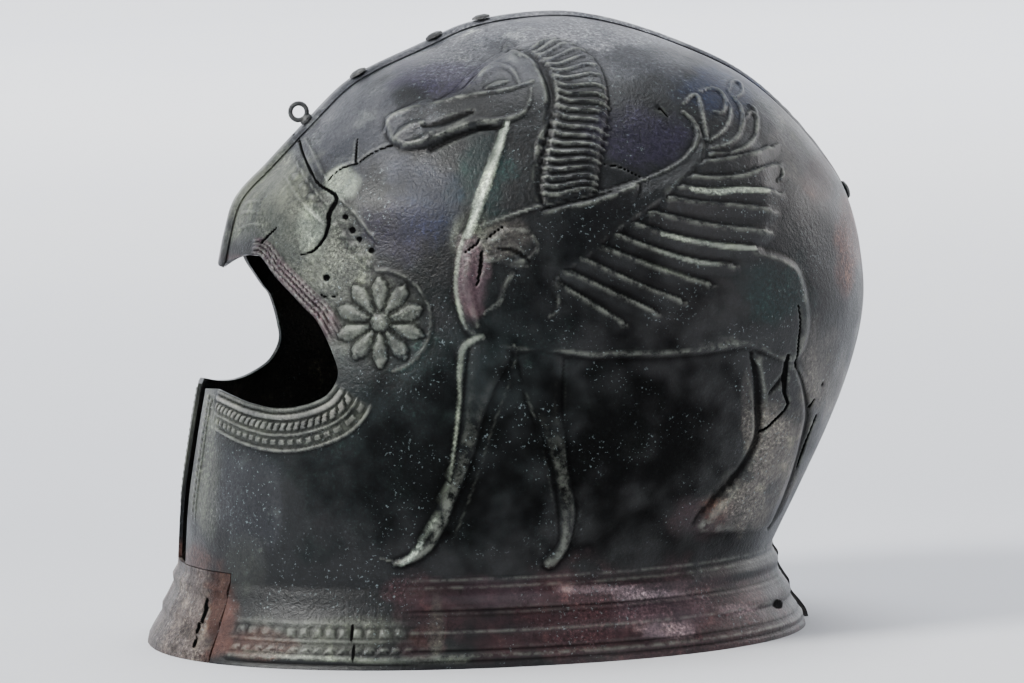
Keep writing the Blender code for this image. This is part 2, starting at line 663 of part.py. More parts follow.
def fill_points(outline, lines, spacing):
    """Points of a triangular grid inside the outline and clear of the lines."""
    low, high = outline.min(0), outline.max(0)
    rows = np.arange(low[1], high[1], spacing * math.sqrt(0.75))
    grid = []
    for k, y in enumerate(rows):
        xs = np.arange(low[0] + (k % 2) * spacing / 2, high[0], spacing)
        grid.append(np.stack([xs, np.full(len(xs), y)], 1))
    grid = np.concatenate(grid)
    grid = grid[inside(grid, outline)]
    starts = [outline] + [line[:-1] for line in lines]
    ends = [np.roll(outline, -1, axis=0)] + [line[1:] for line in lines]
    d, _, _ = distance_to(grid, np.concatenate(starts), np.concatenate(ends))
    return grid[d > spacing * CROWDING]


def triangulated(outline, lines, spacing):
    """Map points and triangles inside the outline. The outline's points come first, in order."""
    points = [outline]
    edges = [(k, (k + 1) % len(outline)) for k in range(len(outline))]
    count = len(outline)
    for line in lines:
        points.append(line)
        edges += [(count + k, count + k + 1) for k in range(len(line) - 1)]
        count += len(line)
    points.append(fill_points(outline, lines, spacing))
    every = np.concatenate(points)
    found = delaunay_2d_cdt([Vector(p * MESH_SCALE) for p in every], edges, [], 0, MESH_TOLERANCE)
    flat = np.array([tuple(v) for v in found[0]]) / MESH_SCALE
    faces = np.array(found[2])
    place = {}
    for new, old in enumerate(found[3]):
        for k in old:
            if k < len(outline):
                place[k] = new
    middle = flat[faces].mean(1)
    faces = faces[inside(middle, outline)]
    order = [place[k] for k in range(len(outline))]
    taken = set(order)
    rest = [k for k in range(len(flat)) if k not in taken]
    new_of = np.empty(len(flat), int)
    new_of[order + rest] = np.arange(len(flat))
    flat = flat[order + rest]
    flat[: len(outline)] = outline
    faces = new_of[faces]
    a, b, c = flat[faces[:, 0]], flat[faces[:, 1]], flat[faces[:, 2]]
    turn = (b - a)[:, 0] * (c - a)[:, 1] - (b - a)[:, 1] * (c - a)[:, 0]
    faces[turn < 0] = faces[turn < 0][:, ::-1]
    return flat, faces[np.abs(turn) > TINY]


def flare_rows(depth):
    """Drop and reach of the flare's rows outside (depth 0) or inside, and their lift at the lap."""
    share = column(FLARE_PROFILE, FLARE_COLUMNS, "drop")
    reach = column(FLARE_PROFILE, FLARE_COLUMNS, "reach") * FLARE_REACH
    thickness = WALL + (RIM_THICKNESS - WALL) * ease((share - RIM_START) / (1 - RIM_START))
    return share * FLARE_HEIGHT, reach - thickness * (depth > 0), thickness + GAP


def flare_points(turns, drop, reach, lift, rise):
    """Grid of flare points: a row for each drop, a column for each turn."""
    base = np.concatenate([at_turn(np.array([t]), FLARE_HEIGHT) for t in turns])
    along = np.concatenate([at_turn(np.array([t + TURN_NUDGE]), FLARE_HEIGHT) for t in turns])
    along = along - np.concatenate([at_turn(np.array([t - TURN_NUDGE]), FLARE_HEIGHT) for t in turns])
    out = np.stack([along[:, 1], -along[:, 0], 0 * along[:, 0]], 1)
    out = out / np.linalg.norm(out, axis=1, keepdims=True)
    rows = []
    for d, r, over in zip(drop, reach, lift):
        row = base + out * (r + over * rise)[:, None]
        row[:, 2] = FLARE_HEIGHT - d
        rows.append(row)
    return np.array(rows)


def half_mesh(shell):
    """Vertices and faces of one half, as the left one."""
    outline = shell.boundary()
    relief = shell.relief.lines()
    pressed = [(shell.chart.press(line), closed) for line, closed in relief]
    ways = side_ways(shell.face, False)
    for middle, width in BORDERS:
        for share in (-0.5, 0, 0.5):
            pressed.append((shell.face - ways * (middle + share * width), False))
    along_lap = []
    for to_median in (0, LAP / 2 + GAP, LAP / 2 + GAP + LAP_RAMP):
        way = np.linalg.norm(shell.lap, axis=1, keepdims=True)
        along_lap.append((shell.lap * (way - LAP / 2 - to_median) / way, False))
    inner_lines = keep_inside(along_lap, outline, LINE_CLEARANCE)
    lines = keep_inside(pressed, outline, LINE_CLEARANCE) + inner_lines
    outer_flat, outer_faces = triangulated(outline, lines, FILL_SPACING)
    inner_flat, inner_faces = triangulated(outline, inner_lines, INNER_SPACING)
    outer = shell.shell_points(outer_flat, 0)
    inner = shell.shell_points(inner_flat, WALL)
    count = len(outline)
    first = len(shell.face) + len(shell.lap) - 2
    joined = list(range(first, first + len(shell.stations)))[::-1]
    back_median = np.array([abs(at_turn(np.array([t]), FLARE_HEIGHT)[0, 1]) for t in shell.stations])
    side = np.where(shell.stations > math.pi, -1, 1)
    behind = shell.stations > math.pi / 2
    rise = np.where(behind, ease(shell.rise(back_median * side, FLARE_RAMP)), 0)
    vertices = [outer, inner]
    faces = [outer_faces, inner_faces[:, ::-1] + len(outer)]
    top = len(outer) + len(inner)
    outside = flare_points(shell.stations, *flare_rows(0), rise)
    inside_wall = flare_points(shell.stations, *flare_rows(WALL), rise)
    for j in range(len(joined)):
        outer[joined[j]] = outside[0, j]
        inner[joined[j]] = inside_wall[0, j]
    columns = len(shell.stations)
    rows = len(outside)
    vertices += [outside[1:].reshape(-1, 3), inside_wall[1:].reshape(-1, 3)]
    below = np.arange((rows - 1) * columns).reshape(rows - 1, columns)
    outer_rows = np.concatenate([[joined], top + below])
    inner_rows = np.concatenate([[len(outer) + np.array(joined)], top + below.size + below])
    quads = []
    for r in range(rows - 1):
        for grid in (outer_rows, inner_rows):
            high, low = grid[r], grid[r + 1]
            quads += [(high[c], low[c], low[c + 1], high[c + 1]) for c in range(columns - 1)]
        for c in (0, -1):
            quads.append((outer_rows[r, c], inner_rows[r, c], inner_rows[r + 1, c], outer_rows[r + 1, c]))
    for c in range(columns - 1):
        quads.append((outer_rows[-1, c], inner_rows[-1, c], inner_rows[-1, c + 1], outer_rows[-1, c + 1]))
    joined_set = set(joined)
    for k in range(count):
        n = (k + 1) % count
        if k in joined_set and n in joined_set:
            continue
        quads.append((k, len(outer) + k, len(outer) + n, n))
    return np.concatenate(vertices), [tuple(f) for part in faces for f in part] + quads


def material(name):
    colour, roughness, metallic = FINISHES[name]
    made = bpy.data.materials.new(name)
    made.use_nodes = True
    shader = made.node_tree.nodes["Principled BSDF"]
    shader.inputs["Base Color"].default_value = (*colour, 1)
    shader.inputs["Roughness"].default_value = roughness
    shader.inputs["Metallic"].default_value = metallic
    return made


def new_object(name, mesh, finish):
    obj = bpy.data.objects.new(name, mesh)
    obj.data.materials.append(finish)
    bpy.context.scene.collection.objects.link(obj)
    return obj


def mesh_of(name, vertices, faces):
    """A closed mesh with its faces turned outward."""
    mesh = bpy.data.meshes.new(name)
    mesh.from_pydata([tuple(v) for v in vertices], [], faces)
    work = bmesh.new()
    work.from_mesh(mesh)
    bmesh.ops.triangulate(work, faces=work.faces)
    bmesh.ops.recalc_face_normals(work, faces=work.faces)
    if work.calc_volume(signed=True) < 0:
        bmesh.ops.reverse_faces(work, faces=work.faces)
    work.to_mesh(mesh)
    work.free()
    mesh.shade_smooth()
    mesh.set_sharp_from_angle(angle=math.radians(SHARP_ANGLE))
    return mesh


def median_place(chart, angle):
    """Point on the median at an angle about the side centre, and the way out from the shell."""
    bearing = math.radians(angle)
    way = chart.edge_at(bearing)
    flat = np.array([[math.cos(bearing) * way, math.sin(bearing) * way]])
    return Vector(chart.place(flat)[0]), Vector(chart.normals(flat)[0]).normalized()


def turned(name, profile, place, out):
    """A round solid from (radius, distance out) pairs, bottom to top, closed at both ends."""
    work = bmesh.new()
    rings = []
    for radius, height in profile:
        if radius == 0:
            rings.append([work.verts.new((0, 0, height))])
            continue
        ring = []
        for k in range(ROUND_SIDES):
            angle = 2 * math.pi * k / ROUND_SIDES
            ring.append(work.verts.new((radius * math.cos(angle), radius * math.sin(angle), height)))
        rings.append(ring)
    for low, high in zip(rings, rings[1:]):
        for k in range(ROUND_SIDES):
            n = (k + 1) % ROUND_SIDES
            corners = [low[k % len(low)], low[n % len(low)], high[n % len(high)], high[k % len(high)]]
            work.faces.new(list(dict.fromkeys(corners)))
    bmesh.ops.recalc_face_normals(work, faces=work.faces)
    turn = Vector((0, 0, 1)).rotation_difference(out).to_matrix().to_4x4()
    work.transform(Matrix.Translation(place) @ turn)
    mesh = bpy.data.meshes.new(name)
    work.to_mesh(mesh)
    work.free()
    mesh.shade_smooth()
    mesh.set_sharp_from_angle(angle=math.radians(SHARP_ANGLE))
    return mesh


def hole(name, place, out, halves):
    """A clearance hole through both laps."""
    radius = RIVET_SHANK / 2 + GAP
    long = 4 * WALL
    mesh = turned(name, ((0, -long), (radius, -long), (radius, long), (0, long)), place, out)
    cutter = new_object(name, mesh, bpy.data.materials["rivet_bronze"])
    cutter.hide_render = True
    cutter.display_type = "WIRE"
    for half in halves:
        cut = half.modifiers.new(name, "BOOLEAN")
        cut.operation = "DIFFERENCE"
        cut.object = cutter


def rivet(name, place, out, finish):
    """Shank, domed head outside both laps and a clenched head inside."""
    top = WALL + 2 * GAP
    bottom = -WALL - CLENCH_GAP
    head, shank = RIVET_HEAD / 2, RIVET_SHANK / 2
    profile = [(head * wide, bottom - RIVET_DOME * deep) for wide, deep in CLENCH_PROFILE]
    profile += [(shank, bottom), (shank, top)]
    profile += [(head * wide, top + RIVET_DOME * high) for wide, high in HEAD_PROFILE]
    return new_object(name, turned(name, profile, place, out), finish)


def crest_loop(place, out, finish):
    """Wire eyelet in the median plane on a shank that is clenched inside the shell."""
    top = WALL + 2 * GAP
    bottom = -WALL - CLENCH_GAP
    wire = LOOP_WIRE / 2
    head, shank = RIVET_HEAD / 2 * LOOP_FOOT, RIVET_SHANK / 2
    profile = (
        (0, bottom - wire),
        (head, bottom - wire),
        (head, bottom),
        (shank, bottom),
        (shank, top),
        (head, top),
        (head, top + wire),
        (shank * LOOP_NECK, top + wire * LOOP_NECK_RISE),
        (0, top + wire * LOOP_NECK_RISE),
    )
    stem = new_object("crest_loop", turned("crest_loop", profile, place, out), finish)
    ring = LOOP_DIAMETER / 2 - wire
    centre = place + out * (top + wire * LOOP_SET + ring)
    side = Vector((0, 1, 0))
    along = out.cross(side)
    work = bmesh.new()
    loops = []
    for k in range(RING_SIDES):
        angle = 2 * math.pi * k / RING_SIDES
        way = out * math.sin(angle) + along * math.cos(angle)
        loop = []
        for m in range(WIRE_SIDES):
            tilt = 2 * math.pi * m / WIRE_SIDES
            corner = way * (ring + wire * math.cos(tilt)) + side * wire * math.sin(tilt)
            loop.append(work.verts.new(centre + corner))
        loops.append(loop)
    for k in range(RING_SIDES):
        a, b = loops[k], loops[(k + 1) % RING_SIDES]
        for m in range(WIRE_SIDES):
            n = (m + 1) % WIRE_SIDES
            work.faces.new((a[m], a[n], b[n], b[m]))
    bmesh.ops.recalc_face_normals(work, faces=work.faces)
    mesh = bpy.data.meshes.new("loop_ring")
    work.to_mesh(mesh)
    work.free()
    guide = new_object("loop_ring", mesh, finish)
    guide.hide_render = True
    guide.display_type = "WIRE"
    join = stem.modifiers.new("ring", "BOOLEAN")
    join.operation = "UNION"
    join.object = guide
    return stem, guide


def chin_infill(finish):
    """The piece across the front of the flare, between the two halves."""
    edge = turn_at(INFILL_WIDTH / 2 - GAP / 2, FLARE_HEIGHT, False)
    turns = np.linspace(-edge, edge, INFILL_STATIONS + 1)
    no_rise = np.zeros(len(turns))
    drop, reach, lift = flare_rows(0)
    _, deep, _ = flare_rows(WALL)
    drop[0] = GAP
    outside = flare_points(turns, drop, reach, lift, no_rise)
    wall = flare_points(turns, drop, deep, lift, no_rise)
    rows, columns = outside.shape[:2]
    vertices = np.concatenate([outside.reshape(-1, 3), wall.reshape(-1, 3)])
    front = np.arange(rows * columns).reshape(rows, columns)
    behind = front + rows * columns
    faces = []
    for r in range(rows - 1):
        for grid in (front, behind):
            high, low = grid[r], grid[r + 1]
            faces += [(high[c], low[c], low[c + 1], high[c + 1]) for c in range(columns - 1)]
        for c in (0, -1):
            faces.append((front[r, c], front[r + 1, c], behind[r + 1, c], behind[r, c]))
    for r in (0, -1):
        for c in range(columns - 1):
            faces.append((front[r, c], front[r, c + 1], behind[r, c + 1], behind[r, c]))
    return new_object("chin_infill", mesh_of("chin_infill", vertices, faces), finish)


def main():
    for obj in list(bpy.data.objects):
        bpy.data.objects.remove(obj)
    finishes = {name: material(name) for name in FINISHES}
    chart = Chart()
    left_points, left_faces = half_mesh(Shell(chart, False))
    right_points, right_faces = half_mesh(Shell(chart, True))
    mirrored = right_points * [1, -1, 1]
    left = new_object("left_half", mesh_of("left_half", left_points, left_faces), finishes["dark_bronze"])
    right = new_object("right_half", mesh_of("right_half", mirrored, right_faces), finishes["dark_bronze"])
    pieces = [left, right]
    for name, angle in RIVETS:
        place, out = median_place(chart, angle)
        hole(name + "_hole", place, out, (left, right))
        pieces.append(rivet(name, place, out, finishes["rivet_bronze"]))
    place, out = median_place(chart, LOOP_ANGLE)
    hole("loop_hole", place, out, (left, right))
    pieces.extend(crest_loop(place, out, finishes["loop_bronze"]))
    pieces.append(chin_infill(finishes["infill"]))


if __name__ == "__main__":
    main()
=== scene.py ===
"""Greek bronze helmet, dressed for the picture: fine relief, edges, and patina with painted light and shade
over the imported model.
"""

import math

import bmesh
import bpy
import numpy as np
from mathutils import Matrix, Vector, noise
from mathutils.geometry import delaunay_2d_cdt
from mathutils.kdtree import KDTree

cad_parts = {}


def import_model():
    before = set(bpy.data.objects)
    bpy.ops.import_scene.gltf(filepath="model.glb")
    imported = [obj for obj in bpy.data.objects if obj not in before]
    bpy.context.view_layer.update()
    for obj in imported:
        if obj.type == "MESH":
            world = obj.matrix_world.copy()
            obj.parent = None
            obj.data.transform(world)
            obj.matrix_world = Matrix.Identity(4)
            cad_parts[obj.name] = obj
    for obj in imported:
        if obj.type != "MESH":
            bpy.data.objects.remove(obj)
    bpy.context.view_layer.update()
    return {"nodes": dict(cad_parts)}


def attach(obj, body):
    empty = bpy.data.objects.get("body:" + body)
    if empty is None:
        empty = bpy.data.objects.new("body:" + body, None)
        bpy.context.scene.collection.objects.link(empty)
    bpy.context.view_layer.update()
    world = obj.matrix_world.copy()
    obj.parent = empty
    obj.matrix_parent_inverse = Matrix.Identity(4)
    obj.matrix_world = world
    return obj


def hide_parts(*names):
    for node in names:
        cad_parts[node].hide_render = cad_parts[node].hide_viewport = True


# Driving dimensions, in metres
LENGTH = 0.246  # skull and cheeks, front to back, without the flare
WIDTH = 0.182  # across the skull at its widest
HEIGHT = 0.218  # floor to crown
WALL = 0.0013
GAP = 0.0003  # between pieces that touch
LAP = 0.008  # width of the right half's edge where it lies over the left
LAP_RAMP = 0.003  # run over which the right half rises onto the left
FLARE_HEIGHT = 0.030  # from the rim's underside to the neck
FLARE_REACH = 0.0115  # how far the rim stands out from the neck
FLARE_RAMP = 0.009  # run over which the right half's flare rises onto the left's
RIM_THICKNESS = 0.0025
PEAK_DROP = 0.0055  # how far the brow peak hangs below the brow's edge beside it
SLIT_WIDTH = 0.018  # between the two cheeks
INFILL_WIDTH = 0.080  # modern piece across the front of the flare
FIGURE_RELIEF = 0.0016  # how far the horse stands out
DETAIL_RELIEF = 0.0009  # feathers, mane and petals on top of that
BORDER_RELIEF = 0.0009  # rolls along the edge of the face opening
EDGE_SOFTNESS = 0.0025  # run over which the relief begins above the neck

# Horizontal sections, crown to neck. Heights are shares of HEIGHT, front and back are shares of
# LENGTH from the front of the cheeks, half widths are shares of WIDTH, and the powers say how
# pointed (below 2) or boxy (over 2) the section is.
SECTION_COLUMNS = ("height", "front", "back", "half_width", "front_power", "back_power")
SECTIONS = (
    (1.000, 0.556, 0.556, 0.000, 2.00, 2.00),
    (0.986, 0.440, 0.640, 0.109, 2.00, 2.00),
    (0.954, 0.370, 0.724, 0.207, 2.00, 2.00),
    (0.900, 0.266, 0.824, 0.310, 2.00, 2.00),
    (0.836, 0.203, 0.892, 0.380, 1.90, 2.05),
    (0.772, 0.146, 0.940, 0.429, 1.80, 2.05),
    (0.717, 0.098, 0.972, 0.462, 1.70, 2.10),
    (0.662, 0.081, 0.989, 0.484, 1.66, 2.10),
    (0.607, 0.070, 0.998, 0.495, 1.70, 2.10),
    (0.525, 0.052, 1.000, 0.500, 1.80, 2.15),
    (0.438, 0.038, 0.984, 0.495, 2.00, 2.15),
    (0.329, 0.020, 0.945, 0.478, 2.10, 2.20),
    (0.228, 0.006, 0.901, 0.457, 2.15, 2.20),
    (0.137, 0.000, 0.860, 0.429, 2.20, 2.20),
)
CROWN_SHARE = 0.556  # where the crown's top lies along LENGTH
CENTRE_SHARE = 0.480  # height of the side centre from which the shell is charted
RIM_START = 0.6  # share of the flare's height at which the rim begins to thicken

# The drawing of the left side is ruled into steps: DRAWING_TALL of them over HEIGHT and
# DRAWING_LONG over LENGTH. Points are (right, down) in steps from the drawing's corner, and
# DRAWING_MIDDLE is the step that lies on the middle of the helmet.
DRAWING_TALL = 608
DRAWING_LONG = 694
DRAWING_MIDDLE = (505, 324)
# The drawing is pressed on as seen by an eye on the left. Lengths here are in lengths of the
# helmet, so that it follows when the helmet changes size.
EYE_DISTANCE = 8.943
EYE_AZIMUTH = -11.0  # degrees from square on, toward the face
EYE_ELEVATION = 5.5  # degrees
EYE_ROLL = 1.15  # degrees that the drawing is turned, its right side up
DRAWN_WIDTH = 0.7398
DRAWN_HEIGHT = 0.8862
FACE_EDGE = (
    (253, 256), (261, 258), (275, 277), (290, 293), (305, 309), (316, 320), (326, 338),
    (334, 357), (338, 371), (335, 383), (324, 396), (300, 405), (275, 407), (250, 402),
    (230, 394), (217, 388),
)  # brow peak, eye corner, top of the cheek
# Fine relief. Lines are rows of right, down, width, in steps of the drawing, and each group has a
# height as a share of DETAIL_RELIEF.
FACE_LINES = (
    ((384, 134, 3), (392, 122, 4), (403, 115, 6), (422, 106, 7), (439, 105, 6), (455, 96, 6),
     (466, 84, 6), (482, 71, 6), (494, 62, 5), (504, 56, 3)),
    ((395, 144, 3), (404, 135, 6), (414, 129, 6), (424, 127, 4)),
    ((402, 150, 4), (413, 149, 8), (424, 145, 11), (431, 138, 7)),
    ((440, 139, 3), (455, 134, 4), (478, 127, 6), (497, 127, 7), (512, 123, 6), (524, 117, 5),
     (530, 106, 4), (531, 94, 3)),
    ((447, 105, 3), (474, 100, 4), (508, 95, 4), (533, 87, 3)),
    ((476, 86, 3), (486, 76, 6), (500, 72, 6), (512, 76, 6), (519, 88, 4)),
    ((486, 94, 3), (497, 90, 7), (508, 87, 3)),
    ((503, 59, 3), (507, 49, 7), (513, 54, 7), (520, 62, 4)),
)
NECK_LINES = (
    ((501, 130, 7), (501, 142, 11), (493, 166, 13), (482, 192, 13), (475, 219, 13), (466, 240, 9)),
    ((464, 238, 8), (458, 262, 7), (456, 290, 6), (458, 303, 6), (462, 318, 6), (466, 328, 5)),
    ((512, 56, 4), (531, 64, 6), (545, 74, 7), (552, 86, 7), (555, 98, 7), (552, 113, 6),
     (547, 129, 5), (540, 143, 5), (538, 160, 5), (541, 196, 5)),
)
# Mane strands: root right and down, tip right and down, from the poll to the neck's foot
MANE_ROWS = (
    (522, 58, 555, 42), (531, 61, 572, 47), (544, 68, 590, 59), (552, 77, 600, 75), (555, 89, 606, 96),
    (555, 101, 609, 112), (552, 115, 609, 129), (547, 130, 607, 144), (542, 147, 603, 156),
    (540, 164, 600, 168), (541, 181, 598, 182), (542, 196, 596, 193),
)
MANE_STRANDS = 21
MANE_WIDTH = 4.4
MANE_SAG = 2.2  # how far a strand sags and then rises on its way
MANE_TAPER = 0.3  # share of its width that a strand loses on its way out
MANE_STOPS = (0.0, 0.25, 0.5, 0.75, 1.0)
MANE_HEIGHT = 0.8
MANE_POWER = 0.8  # how fast a strand's sides fall
CHEST_LINES = (
    ((533, 238, 3), (538, 248, 5), (533, 258, 5), (519, 263, 4), (505, 262, 3)),
    ((486, 262, 4), (501, 260, 9), (515, 266, 8), (526, 267, 4)),
    ((514, 274, 3), (506, 286, 4), (503, 298, 4), (497, 306, 4), (484, 314, 3)),
    ((470, 262, 8), (468, 285, 12), (473, 308, 9), (478, 326, 6)),
    ((484, 338, 4), (474, 340, 8), (463, 348, 8), (460, 362, 6), (458, 376, 5)),
    ((514, 346, 4), (516, 356, 5), (513, 366, 4)),
    ((558, 279, 3), (558, 307, 4), (550, 316, 3)),
    ((490, 244, 4), (510, 234, 9), (528, 232, 5)),
)
ARM_LINES = (
    ((482, 228, 3), (510, 218, 3), (540, 209, 3), (569, 203, 3), (597, 196, 3), (632, 186, 3),
     (656, 177, 3), (676, 167, 4), (690, 155, 4), (697, 144, 5), (698, 134, 5), (692, 122, 4),
     (683, 114, 3)),
)
WING_LINES = (
    ((684, 106, 2), (690, 99, 3), (697, 98, 3), (701, 108, 3), (704, 124, 3), (707, 143, 3)),
    ((699, 94, 2), (710, 91, 3), (720, 94, 3), (726, 104, 3), (723, 115, 3), (713, 114, 2)),
    ((708, 145, 2), (719, 137, 3), (728, 126, 3), (731, 113, 3), (726, 102, 2)),
    ((710, 152, 2), (726, 148, 3), (738, 138, 4), (743, 124, 4), (741, 110, 3), (733, 99, 2)),
    ((708, 158, 2), (728, 157, 3), (745, 150, 4), (755, 139, 4), (758, 126, 3), (755, 112, 3),
     (748, 107, 2)),
    ((728, 93, 2), (732, 84, 3), (740, 86, 3), (742, 95, 3), (736, 100, 2)),
    ((768, 176, 2), (772, 168, 3), (780, 169, 3), (783, 178, 3), (777, 183, 2)),
    ((747, 120, 2), (750, 114, 3), (757, 120, 3), (756, 134, 2)),
)
# Feathers: root, two middles and tip of the raised upper edge, right and down
FEATHERS = (
    (562, 286, 580, 297, 602, 310, 620, 321), (570, 273, 598, 286, 628, 300, 652, 311),
    (583, 260, 616, 275, 650, 290, 678, 300), (600, 248, 636, 261, 676, 276, 706, 284),
    (617, 237, 652, 250, 694, 262, 728, 266), (634, 226, 672, 238, 710, 246, 752, 249),
    (651, 215, 686, 223, 720, 229, 764, 233), (668, 201, 701, 206, 731, 208, 768, 212),
    (681, 190, 707, 194, 738, 193, 774, 194), (692, 180, 714, 182, 743, 179, 772, 168),
    (703, 166, 723, 163, 750, 158, 768, 150),
)
FEATHER_FALL = 13.0  # how far the feather slopes down below its edge
FEATHER_EDGE = 2.4  # and above it
PETAL_SHAPE = ((0.27, 0.15), (0.45, 0.55), (0.64, 0.90), (0.80, 1.00), (0.93, 0.80), (1.02, 0.30))
PETAL_WIDTH = 15
ROSETTE_MIDDLE = (380, 322)
ROSETTE_RADIUS = 42
ROSETTE_BOSS = 10
ROSETTE_PETALS = 10
ROSETTE_RING = (51, 3.5, -95, 75)  # radius, width, first and last degree, round from the right
RING_CUTS = 12
# Heights as shares of DETAIL_RELIEF
RING_HEIGHT = 0.35
BOSS_HEIGHT = 1.3
PETAL_BASE = 0.5  # at a petal's edge
PETAL_RISE = 0.75  # and how much more in its middle
LEG_LINES = (
    ((466, 345, 5), (464, 357, 5), (461, 380, 4), (461, 401, 4), (458, 424, 4), (455, 444, 4),
     (449, 477, 4), (438, 507, 4), (425, 536, 5), (416, 548, 6), (402, 561, 5)),
    ((402, 561, 4), (393, 559, 3), (380, 555, 2)),
)
LEG_EDGES = (
    ((520, 353, 3), (507, 388, 3), (492, 428, 3), (479, 470, 3), (465, 508, 3), (452, 541, 3)),
    ((514, 350, 4), (516, 362, 4), (514, 374, 3)),
    ((514, 366, 3), (526, 394, 3), (540, 436, 3), (549, 478, 3), (555, 512, 4), (556, 538, 4),
     (548, 552, 3), (537, 565, 3)),
    ((566, 360, 3), (565, 400, 3), (565, 443, 3), (567, 470, 3), (576, 492, 3), (580, 511, 3),
     (572, 540, 3)),
    ((745, 368, 4), (751, 395, 5), (752, 432, 5), (744, 446, 3)),
)
LINE_GROUPS = (
    (FACE_LINES, 0.5), (NECK_LINES, 0.55), (CHEST_LINES, 0.45), (LEG_LINES, 0.5), (LEG_EDGES, 0.2),
    (ARM_LINES, 0.75), (WING_LINES, 0.7),
)
FAINT = 0.01  # lower detail than this is left out
# Outlines of the broad fields that stand out
HEAD = (
    (384, 126), (386, 118), (398, 112), (418, 106), (440, 102), (460, 92), (480, 72), (500, 58),
    (516, 53), (536, 64), (549, 88), (551, 112), (530, 126), (500, 130), (480, 130), (455, 137),
    (430, 149), (405, 152), (389, 144),
)
NECK = (
    (503, 122), (495, 150), (485, 175), (475, 205), (462, 240), (505, 250), (545, 222), (541, 180),
    (549, 135), (552, 100), (530, 92),
)
CHEST = (
    (470, 232), (458, 258), (455, 300), (468, 337), (500, 352), (560, 357), (620, 350), (632, 240),
    (640, 184), (597, 197), (545, 208), (505, 218),
)
BARREL = (
    (520, 336), (568, 357), (645, 360), (703, 356), (749, 350), (770, 362), (792, 366), (806, 350),
    (812, 320), (806, 280), (790, 258), (750, 246), (700, 244), (640, 240), (590, 262), (530, 290),
)
WING = (
    (600, 240), (600, 205), (632, 186), (664, 173), (686, 158), (699, 142), (725, 128), (752, 134),
    (774, 160), (782, 200), (776, 240), (752, 272), (705, 300), (660, 318), (620, 320),
)
MANE = (
    (512, 52), (545, 42), (575, 48), (595, 62), (606, 82), (609, 112), (606, 132), (600, 170),
    (596, 197), (570, 204), (541, 208), (541, 170), (548, 135), (552, 100), (543, 72),
)
WING_ARM = (
    (480, 228), (540, 209), (597, 197), (632, 186), (664, 173), (686, 158), (699, 142), (692, 122),
    (704, 140), (704, 160), (687, 180), (660, 205), (630, 226), (606, 243), (586, 262), (560, 272),
    (510, 262),
)
ARM_START = 540  # the arm grows out of the shoulder to the right of this
ARM_FADE = 45
ARM_SOFTNESS = 0.0012
ARM_HEIGHT = 0.6  # as a share of DETAIL_RELIEF
HIND_LEG = (
    (754, 352), (800, 362), (808, 409), (804, 436), (794, 471), (780, 505), (764, 530), (694, 530),
    (712, 501), (740, 468), (757, 436), (758, 403),
)
# Outline, height as a share of FIGURE_RELIEF, and run of the slope at its edge
FIELDS = (
    (HEAD, 0.95, 0.0022), (NECK, 0.85, 0.0030), (CHEST, 0.85, 0.0026), (BARREL, 0.85, 0.0030),
    (WING, 0.85, 0.0075), (MANE, 0.75, 0.0022), (HIND_LEG, 0.55, 0.0030),
)
# Fore legs: rows of right, down, width
FORE_LEGS = (
    ((492, 345, 46), (484, 372, 34), (475, 405, 24), (467, 445, 18), (456, 480, 15), (444, 512, 12),
     (431, 541, 10), (414, 555, 9), (396, 561, 6)),
    ((541, 358, 46), (544, 400, 34), (554, 435, 22), (561, 470, 15), (567, 505, 17), (564, 540, 12),
     (550, 560, 14)),
)
LEG_HEIGHT = 0.85  # as a share of FIGURE_RELIEF
LEG_POWER = 0.7
# Cracks: rows of right, down, width. Open ones show dark: near black is painted into them as the shade
# inside.
CRACKS = (
    ((298, 139, 2), (303, 156, 3.4), (311, 174, 3), (319, 186, 3.4), (336, 198, 5), (329, 214, 5.5),
     (328, 226, 5), (323, 240, 4), (312, 252, 3), (300, 255, 1.5)),
    ((355, 166, 2.4), (356, 150, 2.6), (357, 140, 1.2)),
    ((355, 166, 2), (345, 168, 2), (335, 174, 1.2), (326, 184, 1)),
    ((356, 166, 1.6), (368, 157, 1.6), (380, 151, 1.8), (392, 147, 2.4)),
    ((604, 166, 1.6), (618, 168, 1.8), (630, 173, 1.8), (641, 179, 1)),
    ((648, 96, 1), (660, 110, 1.8), (672, 122, 1.2)),
    ((318, 292, 1), (322, 296, 2), (329, 298, 1.8), (338, 295, 1)),
    ((262, 244, 2.6), (267, 237, 3), (276, 229, 1.2)),
    ((796, 305, 1.6), (798, 322, 2), (796, 345, 2.4), (795, 366, 3.2)),
    ((465, 254, 2), (475, 247, 3), (482, 239, 1.6)),
    ((487, 241, 1.6), (495, 234, 2.2), (504, 228, 1.4)),
    ((482, 252, 3), (481, 268, 4.5), (477, 288, 2)),
    ((824, 381, 1.6), (810, 407, 2)),
    ((817, 413, 2), (806, 442, 2.2), (798, 466, 1)),
    ((786, 354, 4), (784, 372, 7), (783, 391, 5), (786, 404, 3), (772, 420, 3), (759, 432, 2)),
    ((352, 618, 1), (352, 630, 3), (353, 645, 3.4), (354, 660, 3.4)),
    ((207, 592, 2), (206, 606, 5), (199, 624, 4), (194, 644, 2)),
)
